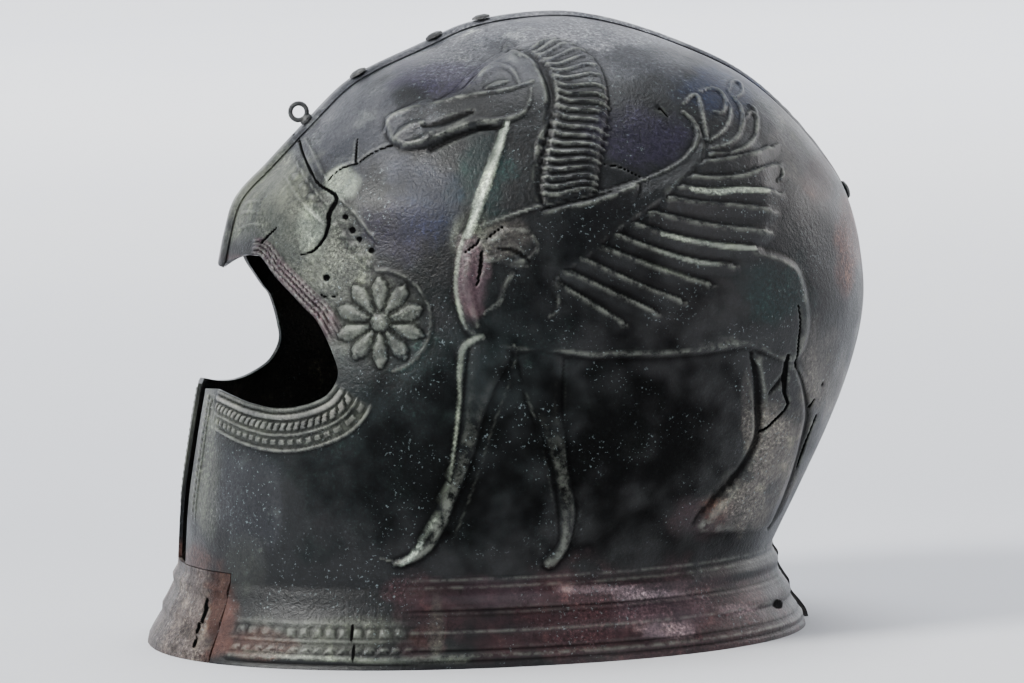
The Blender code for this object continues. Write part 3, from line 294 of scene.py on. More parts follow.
# Deep folds beside the hind legs and under the belly and jaw: wider, with soft sides. Besides being sunk,
# they are painted dark as shade.
FOLDS = (
    ((751, 352, 4), (757, 378, 9), (758, 405, 10), (757, 436, 9), (741, 467, 8), (712, 499, 8),
     (692, 521, 4)),
    ((795, 366, 4), (802, 383, 7), (808, 409, 8), (804, 434, 8), (794, 471, 7), (781, 505, 6),
     (768, 526, 4)),
    ((782, 376, 8), (768, 392, 3)),
    ((430, 152, 4), (455, 140, 6), (480, 131, 6), (503, 130, 5)),
    ((425, 131, 5), (440, 128, 9), (458, 122, 8), (474, 116, 4)),
    ((530, 262, 4), (515, 252, 7), (500, 250, 4)),
)
FOLD_POWER = 1.2
# Holes: right, down and half width. They are painted near black as the shade seen through them.
HOLES = ((778, 601, 5), (326, 278, 3.5), (345, 218, 3), (352, 231, 3.4), (359, 240, 3), (371, 251, 3))
HOLE_RISE = 1.3  # over 1, so that a hole is fully dark some way out from its middle
CRACK_DEPTH = 0.0008
FOLD_DEPTH = 0.0006
# Dents of hammering: size, seed and depth
HAMMERING = ((0.028, 1.0, 0.00022), (0.009, 2.0, 0.00007), (0.003, 3.0, 0.00003))
HAMMER_FADE = 0.002  # they die away over this much beside the face opening
# Bands beside the face opening: distance from the edge and width, in metres, and height as a
# share of BORDER_RELIEF
CHEEK_BANDS = (
    (0.0008, 0.0016, 0.5), (0.0034, 0.0022, 1.0), (0.0098, 0.0010, 0.6), (0.0154, 0.0013, 0.7),
)
FRONT_LINES = ((0.0078, 0.0009, 0.5),)
BROW_RIBS = (
    (0.0012, 0.0014, 0.8), (0.0030, 0.0014, 0.9), (0.0048, 0.0013, 0.8), (0.0064, 0.0012, 0.7),
)
CABLE = (0.0068, 0.0032, 0.0025, 0.75)  # from the edge, width, pitch and height
BEADS = (0.0124, 0.0021, 0.0029, 0.55)  # the same for the square beads
FRONT_BEADS = (0.0049, 0.0020, 0.0030, 0.5)
CABLE_SLANT = 0.55  # pitches by which a strand runs on across the band
CABLE_SHARE = 0.62  # how much of each pitch stands out
BEAD_SHARE = 0.55
PULSE_SIDES = 2.0  # how steep the sides of beads and strands are
SLAB_SIDES = 2.5
# Where these bands begin or end along the edge, and over how much
CORNER_FADE = 0.003
EYE_FADE = 0.002
SLIT_START, SLIT_FADE = 0.018, 0.010
BROW_START, BROW_FADE = 0.012, 0.012
PEAK_START, PEAK_FADE = 0.002, 0.004
# Width of the stained strip beside the edge, and over how much it ends
BROW_STRIP = (0.0078, 0.0008)
CHEEK_STRIP = (0.0165, 0.002)
BROW_LINE_HEIGHT = 0.45
BROW_LINES = (
    ((303, 136, 2), (312, 152, 3), (320, 170, 3), (330, 186, 3), (341, 200, 3), (354, 214, 3),
     (366, 229, 3), (376, 241, 2)),
    ((286, 178, 2), (293, 190, 3), (303, 205, 3), (314, 217, 3), (322, 224, 2)),
    ((295, 160, 1.6), (305, 178, 2), (318, 196, 2), (330, 210, 2)),
    ((226, 224, 2), (236, 217, 3), (248, 213, 3), (262, 214, 2)),
    ((232, 236, 2), (242, 229, 3), (254, 225, 3), (264, 226, 2)),
    ((240, 208, 2), (250, 203, 3), (262, 203, 2)),
)
BROW_DOTS = ((296, 178), (303, 188), (311, 198), (318, 207), (326, 217), (334, 227), (343, 237),
             (352, 247), (361, 257), (369, 266))
DOT_SIZE = 3.6
DOT_HEIGHT = 0.5

# Flare mouldings, neck to rim: drop is a share of FLARE_HEIGHT and reach a share of FLARE_REACH.
FLARE_COLUMNS = ("drop", "reach")
FLARE_PROFILE = (
    (0.00, 0.00), (0.10, 0.02), (0.20, 0.18), (0.30, 0.16), (0.45, 0.36),
    (0.55, 0.52), (0.64, 0.54), (0.80, 0.80), (0.90, 0.94), (1.00, 1.00),
)
FLARE_SMOOTH = (
    (0.00, 0.00), (0.10, 0.02), (0.20, 0.10), (0.30, 0.18), (0.45, 0.34),
    (0.55, 0.46), (0.64, 0.57), (0.80, 0.77), (0.90, 0.90), (1.00, 1.00),
)
# Fine rings of the flare's back: drop, width (both shares of FLARE_HEIGHT) and height in metres
FLARE_RINGS = (
    (0.03, 0.03, 0.0004), (0.12, 0.03, 0.0003), (0.37, 0.025, -0.0004), (0.42, 0.02, -0.0004),
    (0.60, 0.03, 0.0003), (0.80, 0.025, -0.0005), (0.86, 0.05, 0.0002), (0.91, 0.02, -0.0005),
)
# And of its front
FLARE_LINES = (
    (0.50, 0.035, 0.0004), (0.695, 0.03, 0.0004), (0.875, 0.05, 0.0004), (0.945, 0.025, -0.0005),
)
FLARE_BEADS = (0.60, 0.10, 0.0046)  # drop, width and pitch
FLARE_CABLE = (0.785, 0.085, 0.0042)
FLARE_SLANT = 0.5
FLARE_SHARE = 0.6  # how much of each pitch stands out
FLARE_RELIEF = 0.0004
# Ways along from the infill at which the front's borders begin and end
FLARE_BEGIN = (0.004, 0.008)
FLARE_BREAK = (0.058, 0.078)
FLARE_WEAR = (0.02, 5.0)  # size and seed of the flare's unevenness
WEAR_DEPTH = 0.0002
NECK_FADE = 0.05  # shares of the flare over which its relief begins and ends
RIM_FADE = 0.03

# Colours, linear. Besides patinas they hold colours painted for light and shade: a near black painted
# shade, a grey sheen painted where the light from above falls, and painted highlights.
DARK = (0.0065, 0.0082, 0.0090)
INSIDE = (0.040, 0.034, 0.030)
PATINA_AND_LIGHT_COLOURS = {
    "olive": (0.150, 0.160, 0.125),
    # Pale and bright serve mostly as painted highlights along lit edges; bright down the neck's front is
    # also pale verdigris
    "pale": (0.400, 0.450, 0.340),
    "bright": (0.820, 0.920, 0.700),
    # Painted sheen of the light from above, for the crown and forehead
    "ash": (0.270, 0.272, 0.290),
    # Painted highlight on the crests of the cheek's rolls
    "bone_highlight": (0.420, 0.400, 0.360),
    # Near black painted shade, for parts that little light reaches
    "painted_shade": (0.0014, 0.0018, 0.0017),
    # Grey: a painted sheen on the crown and forehead, and a grey tone on the lower front
    "grey": (0.075, 0.077, 0.088),
    "violet": (0.030, 0.022, 0.055),
    "navy": (0.010, 0.020, 0.060),
    "green": (0.006, 0.026, 0.024),
    "plum": (0.105, 0.058, 0.070),
    "brown": (0.052, 0.022, 0.025),
    "earth": (0.120, 0.060, 0.048),
    "stain": (0.072, 0.036, 0.0288),
    # Painted highlight on the flare's mouldings
    "rose": (0.330, 0.230, 0.240),
    "rust": (0.220, 0.075, 0.022),
    "taupe": (0.150, 0.135, 0.115),
    "clay": (0.150, 0.122, 0.108),
}
GLOSS = {"painted_shade": 0.1, "green": 0.7, "olive": 0.6, "earth": 0.4, "taupe": 0.5, "brown": 0.8}  # others 1
PATCH_EDGES = {"painted_shade": 0.9, "earth": 0.4}  # share of a patch over which it fades
# Patches of patina and of painted light and shade: name, right, down, half width and half height in steps,
# strength
PATCHES = (
    # The near black patches over the lower body, belly, shoulder and chest are painted shade, where little
    # light falls on the side facing the eye.
    ("green", 440, 420, 230, 160, 0.35), ("painted_shade", 620, 450, 260, 210, 1.0),
    ("painted_shade", 420, 470, 200, 150, 0.85), ("painted_shade", 640, 300, 150, 60, 0.5),
    ("painted_shade", 430, 260, 75, 110, 0.5), ("painted_shade", 600, 235, 100, 70, 0.65), ("painted_shade", 520, 300, 60, 60, 0.6),
    # The grey patches on the crown and forehead, and the lighter ash grey ones, are a painted sheen where
    # the light from above falls.
    ("green", 480, 180, 40, 60, 0.7), ("grey", 560, 30, 330, 75, 0.75), ("ash", 600, 30, 250, 26, 0.8),
    ("ash", 345, 112, 70, 55, 0.55), ("ash", 420, 60, 90, 30, 0.4), ("grey", 330, 120, 130, 80, 0.7),
    ("violet", 440, 80, 60, 26, 0.7), ("violet", 640, 140, 60, 40, 0.5), ("violet", 400, 230, 55, 40, 0.35),
    ("navy", 725, 90, 60, 34, 0.7), ("navy", 430, 200, 50, 60, 0.35), ("olive", 262, 190, 60, 80, 0.95),
    ("olive", 310, 240, 55, 60, 0.85), ("olive", 350, 300, 45, 70, 0.6), ("olive", 380, 322, 48, 48, 0.35),
    # The pale patch by the brow's crack is a painted highlight, and the small brown patch under the brow
    # peak is painted shade in its hollow.
    ("pale", 341, 186, 22, 19, 0.75), ("pale", 312, 228, 18, 30, 0.6), ("brown", 234, 258, 12, 5, 1.0),
    ("olive", 250, 420, 60, 24, 0.5), ("olive", 208, 470, 14, 90, 0.35), ("grey", 250, 500, 45, 60, 0.35),
    ("olive", 245, 565, 24, 45, 0.2), ("olive", 330, 632, 100, 22, 0.55), ("olive", 470, 240, 24, 40, 0.8),
    ("plum", 470, 275, 20, 50, 0.8), ("taupe", 505, 240, 30, 22, 0.45), ("brown", 640, 615, 205, 62, 1.0),
    ("brown", 440, 600, 50, 32, 0.9), ("brown", 400, 588, 26, 14, 0.8), ("brown", 418, 645, 30, 14, 0.8),
    # The rose patches are painted highlights on the flare's mouldings, where they catch light from the
    # front right.
    ("earth", 425, 632, 22, 12, 0.6), ("plum", 665, 605, 60, 34, 0.7), ("rose", 652, 592, 46, 7, 0.9),
    ("rose", 664, 626, 34, 10, 0.9), ("rose", 600, 586, 50, 6, 0.6), ("rose", 735, 606, 30, 6, 0.5),
    ("plum", 500, 590, 50, 18, 0.5), ("earth", 215, 610, 32, 52, 1.0), ("earth", 195, 565, 24, 30, 0.8),
    ("earth", 260, 640, 40, 18, 0.7), ("earth", 848, 245, 16, 60, 0.9), ("earth", 820, 180, 20, 30, 0.4),
    ("rust", 712, 508, 18, 16, 0.9), ("brown", 700, 515, 40, 24, 0.7), ("taupe", 770, 450, 34, 60, 0.85),
    ("taupe", 745, 500, 34, 34, 0.7), ("taupe", 820, 370, 30, 60, 0.6), ("taupe", 795, 130, 30, 60, 0.35),
    ("taupe", 748, 405, 8, 50, 0.5), ("olive", 436, 625, 8, 36, 0.5), ("green", 780, 290, 50, 40, 0.6),
    ("brown", 420, 600, 30, 40, 0.5),
)
PATCH_FADE = 0.5  # for patches that PATCH_EDGES leaves out
PATCH_RAGGED = 0.35
PATCH_SIZES = (0.011, 0.004)  # of the unevenness of the patches' edges
# Streaks: name, strength and rows of right, down, width. The bright and pale ones are painted highlights
# along lit edges of the neck, chest, legs, feathers and rim, the one down the neck's front also pale
# verdigris; the plum one is a stain.
STREAKS = (
    ("bright", 1.0, ((507, 128, 6), (502, 140, 9), (495, 160, 12), (487, 184, 13), (480, 203, 13),
                     (474, 222, 11), (469, 238, 6))),
    ("pale", 0.8, ((465, 236, 4), (459, 258, 5), (456, 285, 5), (458, 303, 5), (463, 322, 5))),
    ("pale", 0.8, ((483, 336, 4), (473, 340, 7), (464, 348, 7), (460, 362, 6), (459, 380, 4))),
    ("pale", 0.6, ((459, 380, 4), (459, 400, 4), (455, 440, 4), (449, 477, 4), (438, 507, 4),
                   (425, 536, 5))),
    ("bright", 0.9, ((425, 536, 4), (416, 548, 7), (409, 556, 7), (400, 562, 5))),
    ("bright", 0.6, ((690, 193, 5), (712, 195, 7), (740, 193, 7), (765, 194, 5))),
    ("pale", 0.35, ((245, 648, 4), (330, 655, 6), (400, 658, 6), (470, 656, 5))),
    ("bright", 0.5, ((660, 236, 4), (700, 244, 6), (730, 248, 7), (752, 250, 5))),
    ("bright", 0.4, ((655, 252, 3), (690, 262, 5), (715, 265, 4))),
    ("pale", 0.3, ((640, 262, 3), (680, 276, 6), (706, 284, 5))),
    ("plum", 0.8, ((476, 250, 8), (474, 285, 14), (476, 315, 12))),
)
STREAK_POWER = 0.8
BROW_STAIN = 0.9
BORDER_STAIN = 0.45
BORDER_EVEN = 0.8  # the lower, the more ragged the border's stain
BORDER_LOW = 0.3  # border relief above this share gets the bone colour, a painted highlight on the crests
BORDER_MOST = 0.6
INSIDE_RAGGED = 0.6
# The infill: unevenness of its colour and the sizes and seed of that, then how far the edge of
# its stain strays, the run over which it blends, both in steps, and the stain's strength
INFILL_RAGGED = 0.35
INFILL_SIZES = (0.006, 0.002)
INFILL_SEED = 21.0
INFILL_WANDER = 12
INFILL_BLEND = 6
INFILL_STAINED = 0.9
INFILL_GLOSS = 0.15
INFILL_PITS = 0.5
INFILL_STAIN = 203  # how far right the infill turns red brown

# Fineness of the mesh
RAYS = 720
RAY_STEPS = 160
FINE_SPACING = 0.00084
FINEST_SPACING = 0.00050  # in the bands beside the cheek's edge
PLAIN_SPACING = 0.0020
INNER_SPACING = 0.0045
EDGE_SPACING = 0.0009
LAP_STATION = 0.0018
LAP_THINNED = 0.0025  # the lap's sheet is beaten thin over this much beside its edge
LAP_EDGE = 0.0002
INFILL_CUTS = 3
LAP_SAMPLES = 900
LINE_CLEARANCE = 0.0007
CROWDING = 0.5
LEAST_APART = 0.0004
BAND_START = 0.015  # way up the slit at which its beads begin
EYE_CORNER = (338, 384)  # where the cheek's bands end
SLIT_POINTS = 70
BROW_POINTS = 5
AHEAD_POINTS = 24  # from the flare's first station to the slit
FINE_STATIONS = 0.0009  # along the front of the flare, where its borders are
FINE_STRETCH = 0.085  # up to this way along
RAMP_SHARES = (0.75, 0.5, 0.25, 0)
FLARE_STATION = 0.0026
FLARE_SAMPLES = 2000
WORN_MIDDLE = 4  # makes the flare's unevenness whole halfway down
FLARE_ROWS = 36
INNER_ROWS = 10
CURVE_STEPS = 12
LINE_DRAWN = 4
FIELD_DRAWN = 6
SHARP_ANGLE = 50
SOLID_SHARP_ANGLE = 35
NUDGE = 0.0003
WIDE_NUDGE = 0.0015
TURN_NUDGE = 0.001
HALVINGS = 40  # of the span in which a ray's end is sought
SOLVER_ROUNDS = 14
SOLVER_HOLD = 1e-7  # keeps the solver's matrix from being flat
CREST_ROUNDS = 5
LONGEST_MOVE = 0.01
NEAR_EDGE = 0.98
DRAWN_SHRINK = 0.94
MESH_SCALE = 1000.0
MESH_TOLERANCE = 0.01
TINY = 1e-12
SMALL = 1e-9
LEAST_DROP = 1e-6
# Parts of the drawing that hold fine relief: left, top, right, bottom
DETAIL_BOXES = (
    (600, 150, 680, 214),
    (376, 38, 616, 214), (450, 200, 800, 330), (660, 76, 800, 210), (322, 262, 436, 388),
    (284, 130, 384, 262), (450, 330, 590, 572), (376, 540, 470, 572), (735, 300, 815, 535),
    (590, 346, 760, 366), (196, 200, 300, 300), (180, 380, 372, 640),
)
EDGE_DETAIL = 0.017  # and so does this much beside the face's edge

# How far a vertex stands above or below its surroundings where it gets the crest colour, partly wear and
# partly a painted highlight, or the painted shade of hollows
WEAR_AND_HIGHLIGHT_START = 0.00006
WEAR_AND_HIGHLIGHT_RUN = 0.00026
HOLLOW_SHADE_RUN = 0.00022
HOLLOW_SHADE_SHARE = 0.8
FOLD_SHADE_SHARE = 0.9

# Halves: name, whether it lies over the other, and the seed of its patina and its painted light and shade
HALVES = (("left_half", False, 7.0), ("right_half", True, 11.0))
RIVETS = ("rivet_brow", "rivet_crown", "rivet_top", "rivet_nape")

# Fields of noise in the bronze: scale per metre, detail, roughness, warp, and where it begins
# and is full
CLOUDS = (38, 8, 0.6, 0.6, 0.35, 0.72)
BLOOM = (120, 6, 0.6, 0.3, 0.54, 0.72)
COARSE = (26, 3, 0.55, 0.0, 0.38, 0.62)
SPECKS = (900, 2, 0.6, 0.0, 0.63, 0.70)
SPECKLED = (45, 3, 0.55, 0.0, 0.46, 0.60)
RUBBED_AND_LIT = (240, 4, 0.65, 0.0, 0.36, 0.62)
GRAIN = (760, 3, 0.75)
GRAIN_PITS = (0.52, 0.40)
GRAIN_GLINTS = (0.56, 0.68)
PITS_LEAST = 0.35
PITS_MORE = 0.5
SPECKS_SHOWN = 0.55
RUBBED_AND_LIT_SHOWN = 0.5
HOLLOW_SHADE_AND_PIT_SHOWN = 0.9
CRACK_EDGES = (0.15, 0.55)
CRACK_ROUGHER = 0.4
DARK_DULLED = 0.88
SPECULAR = 0.5
METALLIC = 0.3
# Noise of the roughness, its span and its least, and noise of the dents, their depth and strength
DULL = (70, 5)
DULL_SPAN = 0.40
DULL_LEAST = 0.20
DENTS = (140, 5, 0.6)
DENTS_BUMP = (0.0007, 0.35)
GRAIN_BUMP = (0.0005, 0.5)
# Shades multiply the vertex colour, and tints take its place. The crest tint is partly wear and partly a
# painted highlight, the tint of hollows and folds is painted shade and on the infill darkens its pits, and
# the crack tint is painted shade inside open cracks and holes.
CLOUD_SHADE = (0.40, 0.42, 0.46)
BLOOM_SHADE = (2.1, 2.15, 1.9)
PIT_SHADE = (0.20, 0.20, 0.22)
GLINT_SHADE = (2.9, 3.0, 2.8)
SPECK_TINT = (0.20, 0.25, 0.26)
RUBBED_AND_LIT_TINT = (0.24, 0.26, 0.22)
HOLLOW_SHADE_AND_PIT_TINT = (0.003, 0.003, 0.003)
CRACK_TINT = (0.0015, 0.0015, 0.0015)
# Plain finishes: dark, light, scale of the mottling, roughness, metallic, strength of the bump
RIVET_FINISH = ((0.035, 0.036, 0.038), (0.110, 0.112, 0.112), 160, 0.6, 0.25, 0.4)
WIRE_FINISH = ((0.030, 0.032, 0.034), (0.110, 0.112, 0.110), 220, 0.45, 0.5, 0.4)
PLAIN_FIELD = (7, 0.6, 0.5, 0.35, 0.68)  # detail, roughness and warp of the mottling, and its edges
# Scales of the shade, of the roughness and of the bump, as multiples of the mottling's
SHADE_SCALE = 5
ROUGH_SCALE = 2
BUMP_SCALE = 7
PLAIN_SHADE = (0.55, 0.53, 0.50)
SHADE_EDGES = (0.52, 0.70)
PLAIN_DEPTH = 0.0004
ROUGH_SPAN = 0.3

# Floor that curves up into a wall: radius and height
FLOOR_PROFILE = (
    (3.0, 0), (5.0, 0), (6.0, 0.10), (6.9, 0.45), (7.5, 1.1), (7.9, 2.2), (8.0, 4.0), (8.0, 7.0),
)
FLOOR_SIDES = 96
FLOOR_NOISE = (0.5, 3)
FLOOR_EDGES = (0.3, 0.7)
FLOOR_TINTS = ((0.70, 0.72, 0.77), (0.77, 0.78, 0.80))
FLOOR_ROUGHNESS = 0.85
# Lights: name, place, width, power in watts, colour
LIGHTS = (
    ("key", (-2.3, -0.9, 2.2), 0.9, 128, (1.0, 0.99, 0.96)),
    ("top", (0.2, 0.3, 2.6), 1.4, 55, (0.95, 0.97, 1.0)),
    ("back", (2.2, 0.6, 0.9), 0.9, 16, (1.0, 0.95, 0.92)),
    ("front", (1.6, -2.0, 0.7), 0.7, 12, (1.0, 0.93, 0.93)),
)
LIGHTS_AIM = (0, 0, 0.1)
# Lights that only reach the backdrop: place, aim, width, power
WALL_LIGHTS = (
    ((-2.5, 2.4, 3.6), (-2.5, 8.0, 0.4), 2.5, 420), ((2.5, 2.4, 3.6), (2.5, 8.0, 0.4), 2.5, 420),
)
WHITE = (1.0, 1.0, 1.0)
SKY = (0.80, 0.84, 0.92, 1)
SKY_STRENGTH = 0.20
PICTURE = (1024, 683)
SENSOR = 36


def column(table, names, name):
    """One named column of a table."""
    return np.array([row[names.index(name)] for row in table], float)


def ways_along(points):
    """Way from a line's first point to each of its points."""
    return np.concatenate([[0], np.linalg.norm(np.diff(points, axis=0), axis=1).cumsum()])


def tree_of(points):
    """A search tree over points of the plane."""
    tree = KDTree(len(points))
    for k, (x, y) in enumerate(points):
        tree.insert((x, y, 0), k)
    tree.balance()
    return tree


def smooth(knots, values, at):
    """A smooth curve through a table's rows."""
    slopes = np.gradient(values, knots)
    at = np.clip(at, knots[0], knots[-1])
    i = np.clip(np.searchsorted(knots, at) - 1, 0, len(knots) - 2)
    run = knots[i + 1] - knots[i]
    t = (at - knots[i]) / run
    start = values[i] * (1 + 2 * t) * (1 - t) ** 2 + slopes[i] * run * t * (1 - t) ** 2
    end = values[i + 1] * t**2 * (3 - 2 * t) + slopes[i + 1] * run * t**2 * (t - 1)
    return start + end


def along(share):
    """X at a share of LENGTH from the front of the cheeks. The whole helmet, from the rim's chin to
    the lap at the back, is centred on the origin."""
    return (share - 0.5) * LENGTH + (FLARE_REACH - WALL - GAP) / 2


def section(z):
    """Front, back, half width and the two powers of the horizontal section at height z."""
    drop = np.sqrt(np.clip(1 - np.asarray(z, float) / HEIGHT, 0, 1))
    knots = np.sqrt(1 - column(SECTIONS, SECTION_COLUMNS, "height"))
    read = {n: smooth(knots, column(SECTIONS, SECTION_COLUMNS, n), drop) for n in SECTION_COLUMNS[1:]}
    front = along(read["front"])
    back = along(read["back"])
    return front, back, read["half_width"] * WIDTH, read["front_power"], read["back_power"]


def half_width_at(x, z):
    """Distance of the shell from the median plane at x and z, zero outside it."""
    front, back, half, front_power, back_power = section(z)
    share = (x - (front + back) / 2) / np.maximum((back - front) / 2, SMALL)
    power = np.where(share < 0, front_power, back_power)
    return half * np.clip(1 - np.abs(share) ** power, 0, 1) ** (1 / power)


def at_turn(turn, z):
    """Point of the left side at an angle from the front median (0) by the ear to the back (pi)."""
    front, back, half, front_power, back_power = section(z)
    power = np.where(np.cos(turn) > 0, front_power, back_power)
    ahead = np.abs(np.cos(turn)) ** (2 / power) * np.sign(np.cos(turn))
    across = np.abs(np.sin(turn)) ** (2 / power) * np.sign(np.sin(turn))
    x = (front + back) / 2 - (back - front) / 2 * ahead
    return np.stack([x, -half * across, z * np.ones_like(x)], -1)


def turn_at(y, z, behind):
    """The angle whose point lies y to the left of the median plane, in front or behind."""
    _, _, half, front_power, back_power = section(z)
    power = back_power if behind else front_power
    turn = math.asin(min(1, (abs(y) / float(half)) ** (float(power) / 2))) * math.copysign(1, y)
    return math.pi - turn if behind else turn


class Chart:
    """Flat map of the left side. A point's bearing is its angle about the side centre, and its
    distance from the middle is the way there over the shell. Past the median the map goes on
    over the other side, mirrored."""

    def __init__(self):
        self.centre = np.array([along(CROWN_SHARE), CENTRE_SHARE * HEIGHT])
        self.bearings = np.linspace(-math.pi, math.pi, RAYS + 1)
        ways = np.stack([np.cos(self.bearings), np.sin(self.bearings)], 1)
        near = np.zeros(RAYS + 1)
        far = np.full(RAYS + 1, LENGTH)
        for _ in range(HALVINGS):
            middle = (near + far) / 2
            x, z = (self.centre + ways * middle[:, None]).T
            front, back, _, _, _ = section(z)
            inside = (z < HEIGHT) & (x > front) & (x < back)
            near = np.where(inside, middle, near)
            far = np.where(inside, far, middle)
        falls = np.minimum(ways[:, 1], -LEAST_DROP)
        down = np.where(ways[:, 1] < -LEAST_DROP, -self.centre[1] / falls, LENGTH)
        self.reach = np.minimum(near, down)
        steps = np.linspace(0, 1, RAY_STEPS + 1)
        r = self.reach[:, None] * np.sin(steps * math.pi / 2)
        x = self.centre[0] + r * ways[:, :1]
        z = self.centre[1] + r * ways[:, 1:]
        y = half_width_at(x, z)
        y[:, -1] = np.where(near <= down, 0, y[:, -1])
        way = np.hypot(np.diff(r, axis=1), np.diff(y, axis=1)).cumsum(1)
        way = np.concatenate([np.zeros((RAYS + 1, 1)), way], 1)
        self.edge = way[:, -1]
        even = steps * self.edge[:, None]
        self.step_at = np.stack([np.interp(e, w, steps) for e, w in zip(even, way)])

    def edge_at(self, bearing):
        """Way from the side centre to the median or the floor at a bearing."""
        return np.interp(bearing, self.bearings, self.edge)

    def place(self, flat):
        """Points of the shell for points of the map."""
        bearing = np.arctan2(flat[:, 1], flat[:, 0])
        way = np.hypot(flat[:, 0], flat[:, 1])
        edge = self.edge_at(bearing)
        side = np.where(way > edge, 1.0, -1.0)
        way = np.where(way > edge, 2 * edge - way, way)
        column_at = (bearing + math.pi) / (2 * math.pi) * RAYS
        i = np.clip(column_at.astype(int), 0, RAYS - 1)
        u = column_at - i
        row_at = np.clip(way / edge, 0, 1) * RAY_STEPS
        j = np.clip(row_at.astype(int), 0, RAY_STEPS - 1)
        v = row_at - j
        t = self.step_at
        step = (1 - u) * ((1 - v) * t[i, j] + v * t[i, j + 1])
        step = step + u * ((1 - v) * t[i + 1, j] + v * t[i + 1, j + 1])
        r = np.interp(bearing, self.bearings, self.reach) * np.sin(step * math.pi / 2)
        x = self.centre[0] + r * np.cos(bearing)
        z = self.centre[1] + r * np.sin(bearing)
        return np.stack([x, side * half_width_at(x, z), z], 1)

    def normals(self, flat):
        """Ways straight out of the shell."""
        along = self.place(flat + [WIDE_NUDGE, 0]) - self.place(flat - [WIDE_NUDGE, 0])
        up = self.place(flat + [0, WIDE_NUDGE]) - self.place(flat - [0, WIDE_NUDGE])
        out = np.cross(along, up)
        return out / np.maximum(np.linalg.norm(out, axis=1, keepdims=True), TINY)

    def solve(self, target, measure, guess):
        """Map points whose place gives the wanted measures."""
        flat = guess.copy()
        for _ in range(SOLVER_ROUNDS):
            now = measure(self.place(flat))
            slope_a = (measure(self.place(flat + [NUDGE, 0])) - now) / NUDGE
            slope_b = (measure(self.place(flat + [0, NUDGE])) - now) / NUDGE
            jacobian = np.stack([slope_a, slope_b], 2)
            square = np.einsum("nki,nkj->nij", jacobian, jacobian) + SOLVER_HOLD * np.eye(2)
            pull = np.einsum("nki,nk->ni", jacobian, target - now)
            move = np.linalg.solve(square, pull[:, :, None])[:, :, 0]
            size = np.linalg.norm(move, axis=1, keepdims=True)
            flat = flat + move * np.minimum(1, LONGEST_MOVE / np.maximum(size, TINY))
        return flat

    def guess(self, points):
        """Map points near points of the shell, by their way from the side centre alone."""
        ways = points[:, [0, 2]] - self.centre
        bearing = np.arctan2(ways[:, 1], ways[:, 0])
        share = np.linalg.norm(ways, axis=1) / np.interp(bearing, self.bearings, self.reach)
        way = self.edge_at(bearing) * np.arcsin(np.clip(share, 0, NEAR_EDGE)) * 2 / math.pi
        return np.stack([np.cos(bearing) * way, np.sin(bearing) * way], 1)

    def find(self, points):
        """Map points of points on the shell."""
        return self.solve(points, lambda p: p, self.guess(points))

    def press(self, drawn):
        """Map points of points of the drawing."""
        drawn = np.asarray(drawn, float)
        plain = (drawn - DRAWING_MIDDLE) * [LENGTH / DRAWING_LONG, -HEIGHT / DRAWING_TALL]
        plain = plain * DRAWN_SHRINK
        near = np.stack([plain[:, 0], 0 * plain[:, 0], plain[:, 1] + HEIGHT / 2], 1)
        step = LENGTH / DRAWING_LONG
        return self.solve(drawn * step, lambda p: drawing_of(p) * step, self.guess(near))


def eye_axes():
    """Unit vectors across and up the drawing, and away from its eye."""
    azimuth, elevation, roll = (math.radians(a) for a in (EYE_AZIMUTH, EYE_ELEVATION, EYE_ROLL))
    right = np.array([math.cos(azimuth), math.sin(azimuth), 0])
    away = np.array([-math.sin(azimuth), math.cos(azimuth), 0]) * math.cos(elevation)
    away[2] = -math.sin(elevation)
    up = np.cross(right, away)
    across = right * math.cos(roll) - up * math.sin(roll)
    upward = up * math.cos(roll) + right * math.sin(roll)
    return across, upward, away


def drawing_of(points):
    """Steps of the drawing at which points of the left side are seen from the drawing's eye."""
    across, upward, away = eye_axes()
    seen = (points - [0, 0, HEIGHT / 2]) * [1 / LENGTH, DRAWN_WIDTH / WIDTH, DRAWN_HEIGHT / HEIGHT]
    scale = EYE_DISTANCE / (EYE_DISTANCE + seen @ away)
    steps_right = seen @ across * scale * DRAWING_LONG
    steps_down = -(seen @ upward) * scale * DRAWING_TALL / DRAWN_HEIGHT
    return np.stack([steps_right, steps_down], 1) + DRAWING_MIDDLE


def rounded(points, closed, spacing):
    """A smooth line through given points, cut at even spacing. Extra columns are kept."""
    p = np.asarray(points, float)
    if closed:
        p = np.concatenate([p[-1:], p, p[:2]])
    else:
        p = np.concatenate([2 * p[:1] - p[1:2], p, 2 * p[-1:] - p[-2:-1]])
    t = np.linspace(0, 1, CURVE_STEPS, endpoint=False)[:, None]
    runs = []
    for a, b, c, d in zip(p[:-3], p[1:-2], p[2:-1], p[3:]):
        bend = (2 * a - 5 * b + 4 * c - d) * t**2 + (3 * b - a - 3 * c + d) * t**3
        runs.append((2 * b + (c - a) * t + bend) / 2)
    line = np.concatenate(runs + [p[-2:-1]])
    way = ways_along(line[:, :2])
    count = max(2, round(way[-1] / spacing))
    even = np.linspace(0, way[-1], count + 1)
    line = np.stack([np.interp(even, way, line[:, k]) for k in range(p.shape[1])], 1)
    return line[:-1] if closed else line


def distance_to(points, starts, ends):
    """Distance from each point to the nearest segment, that segment, and the share along it."""
    best = np.full(len(points), np.inf)
    which = np.zeros(len(points), int)
    share = np.zeros(len(points))
    for k, (a, b) in enumerate(zip(starts, ends)):
        run = b - a
        t = np.clip((points - a) @ run / max(run @ run, TINY**2), 0, 1)
        d = np.linalg.norm(points - a - t[:, None] * run, axis=1)
        closer = d < best
        best[closer], which[closer], share[closer] = d[closer], k, t[closer]
    return best, which, share


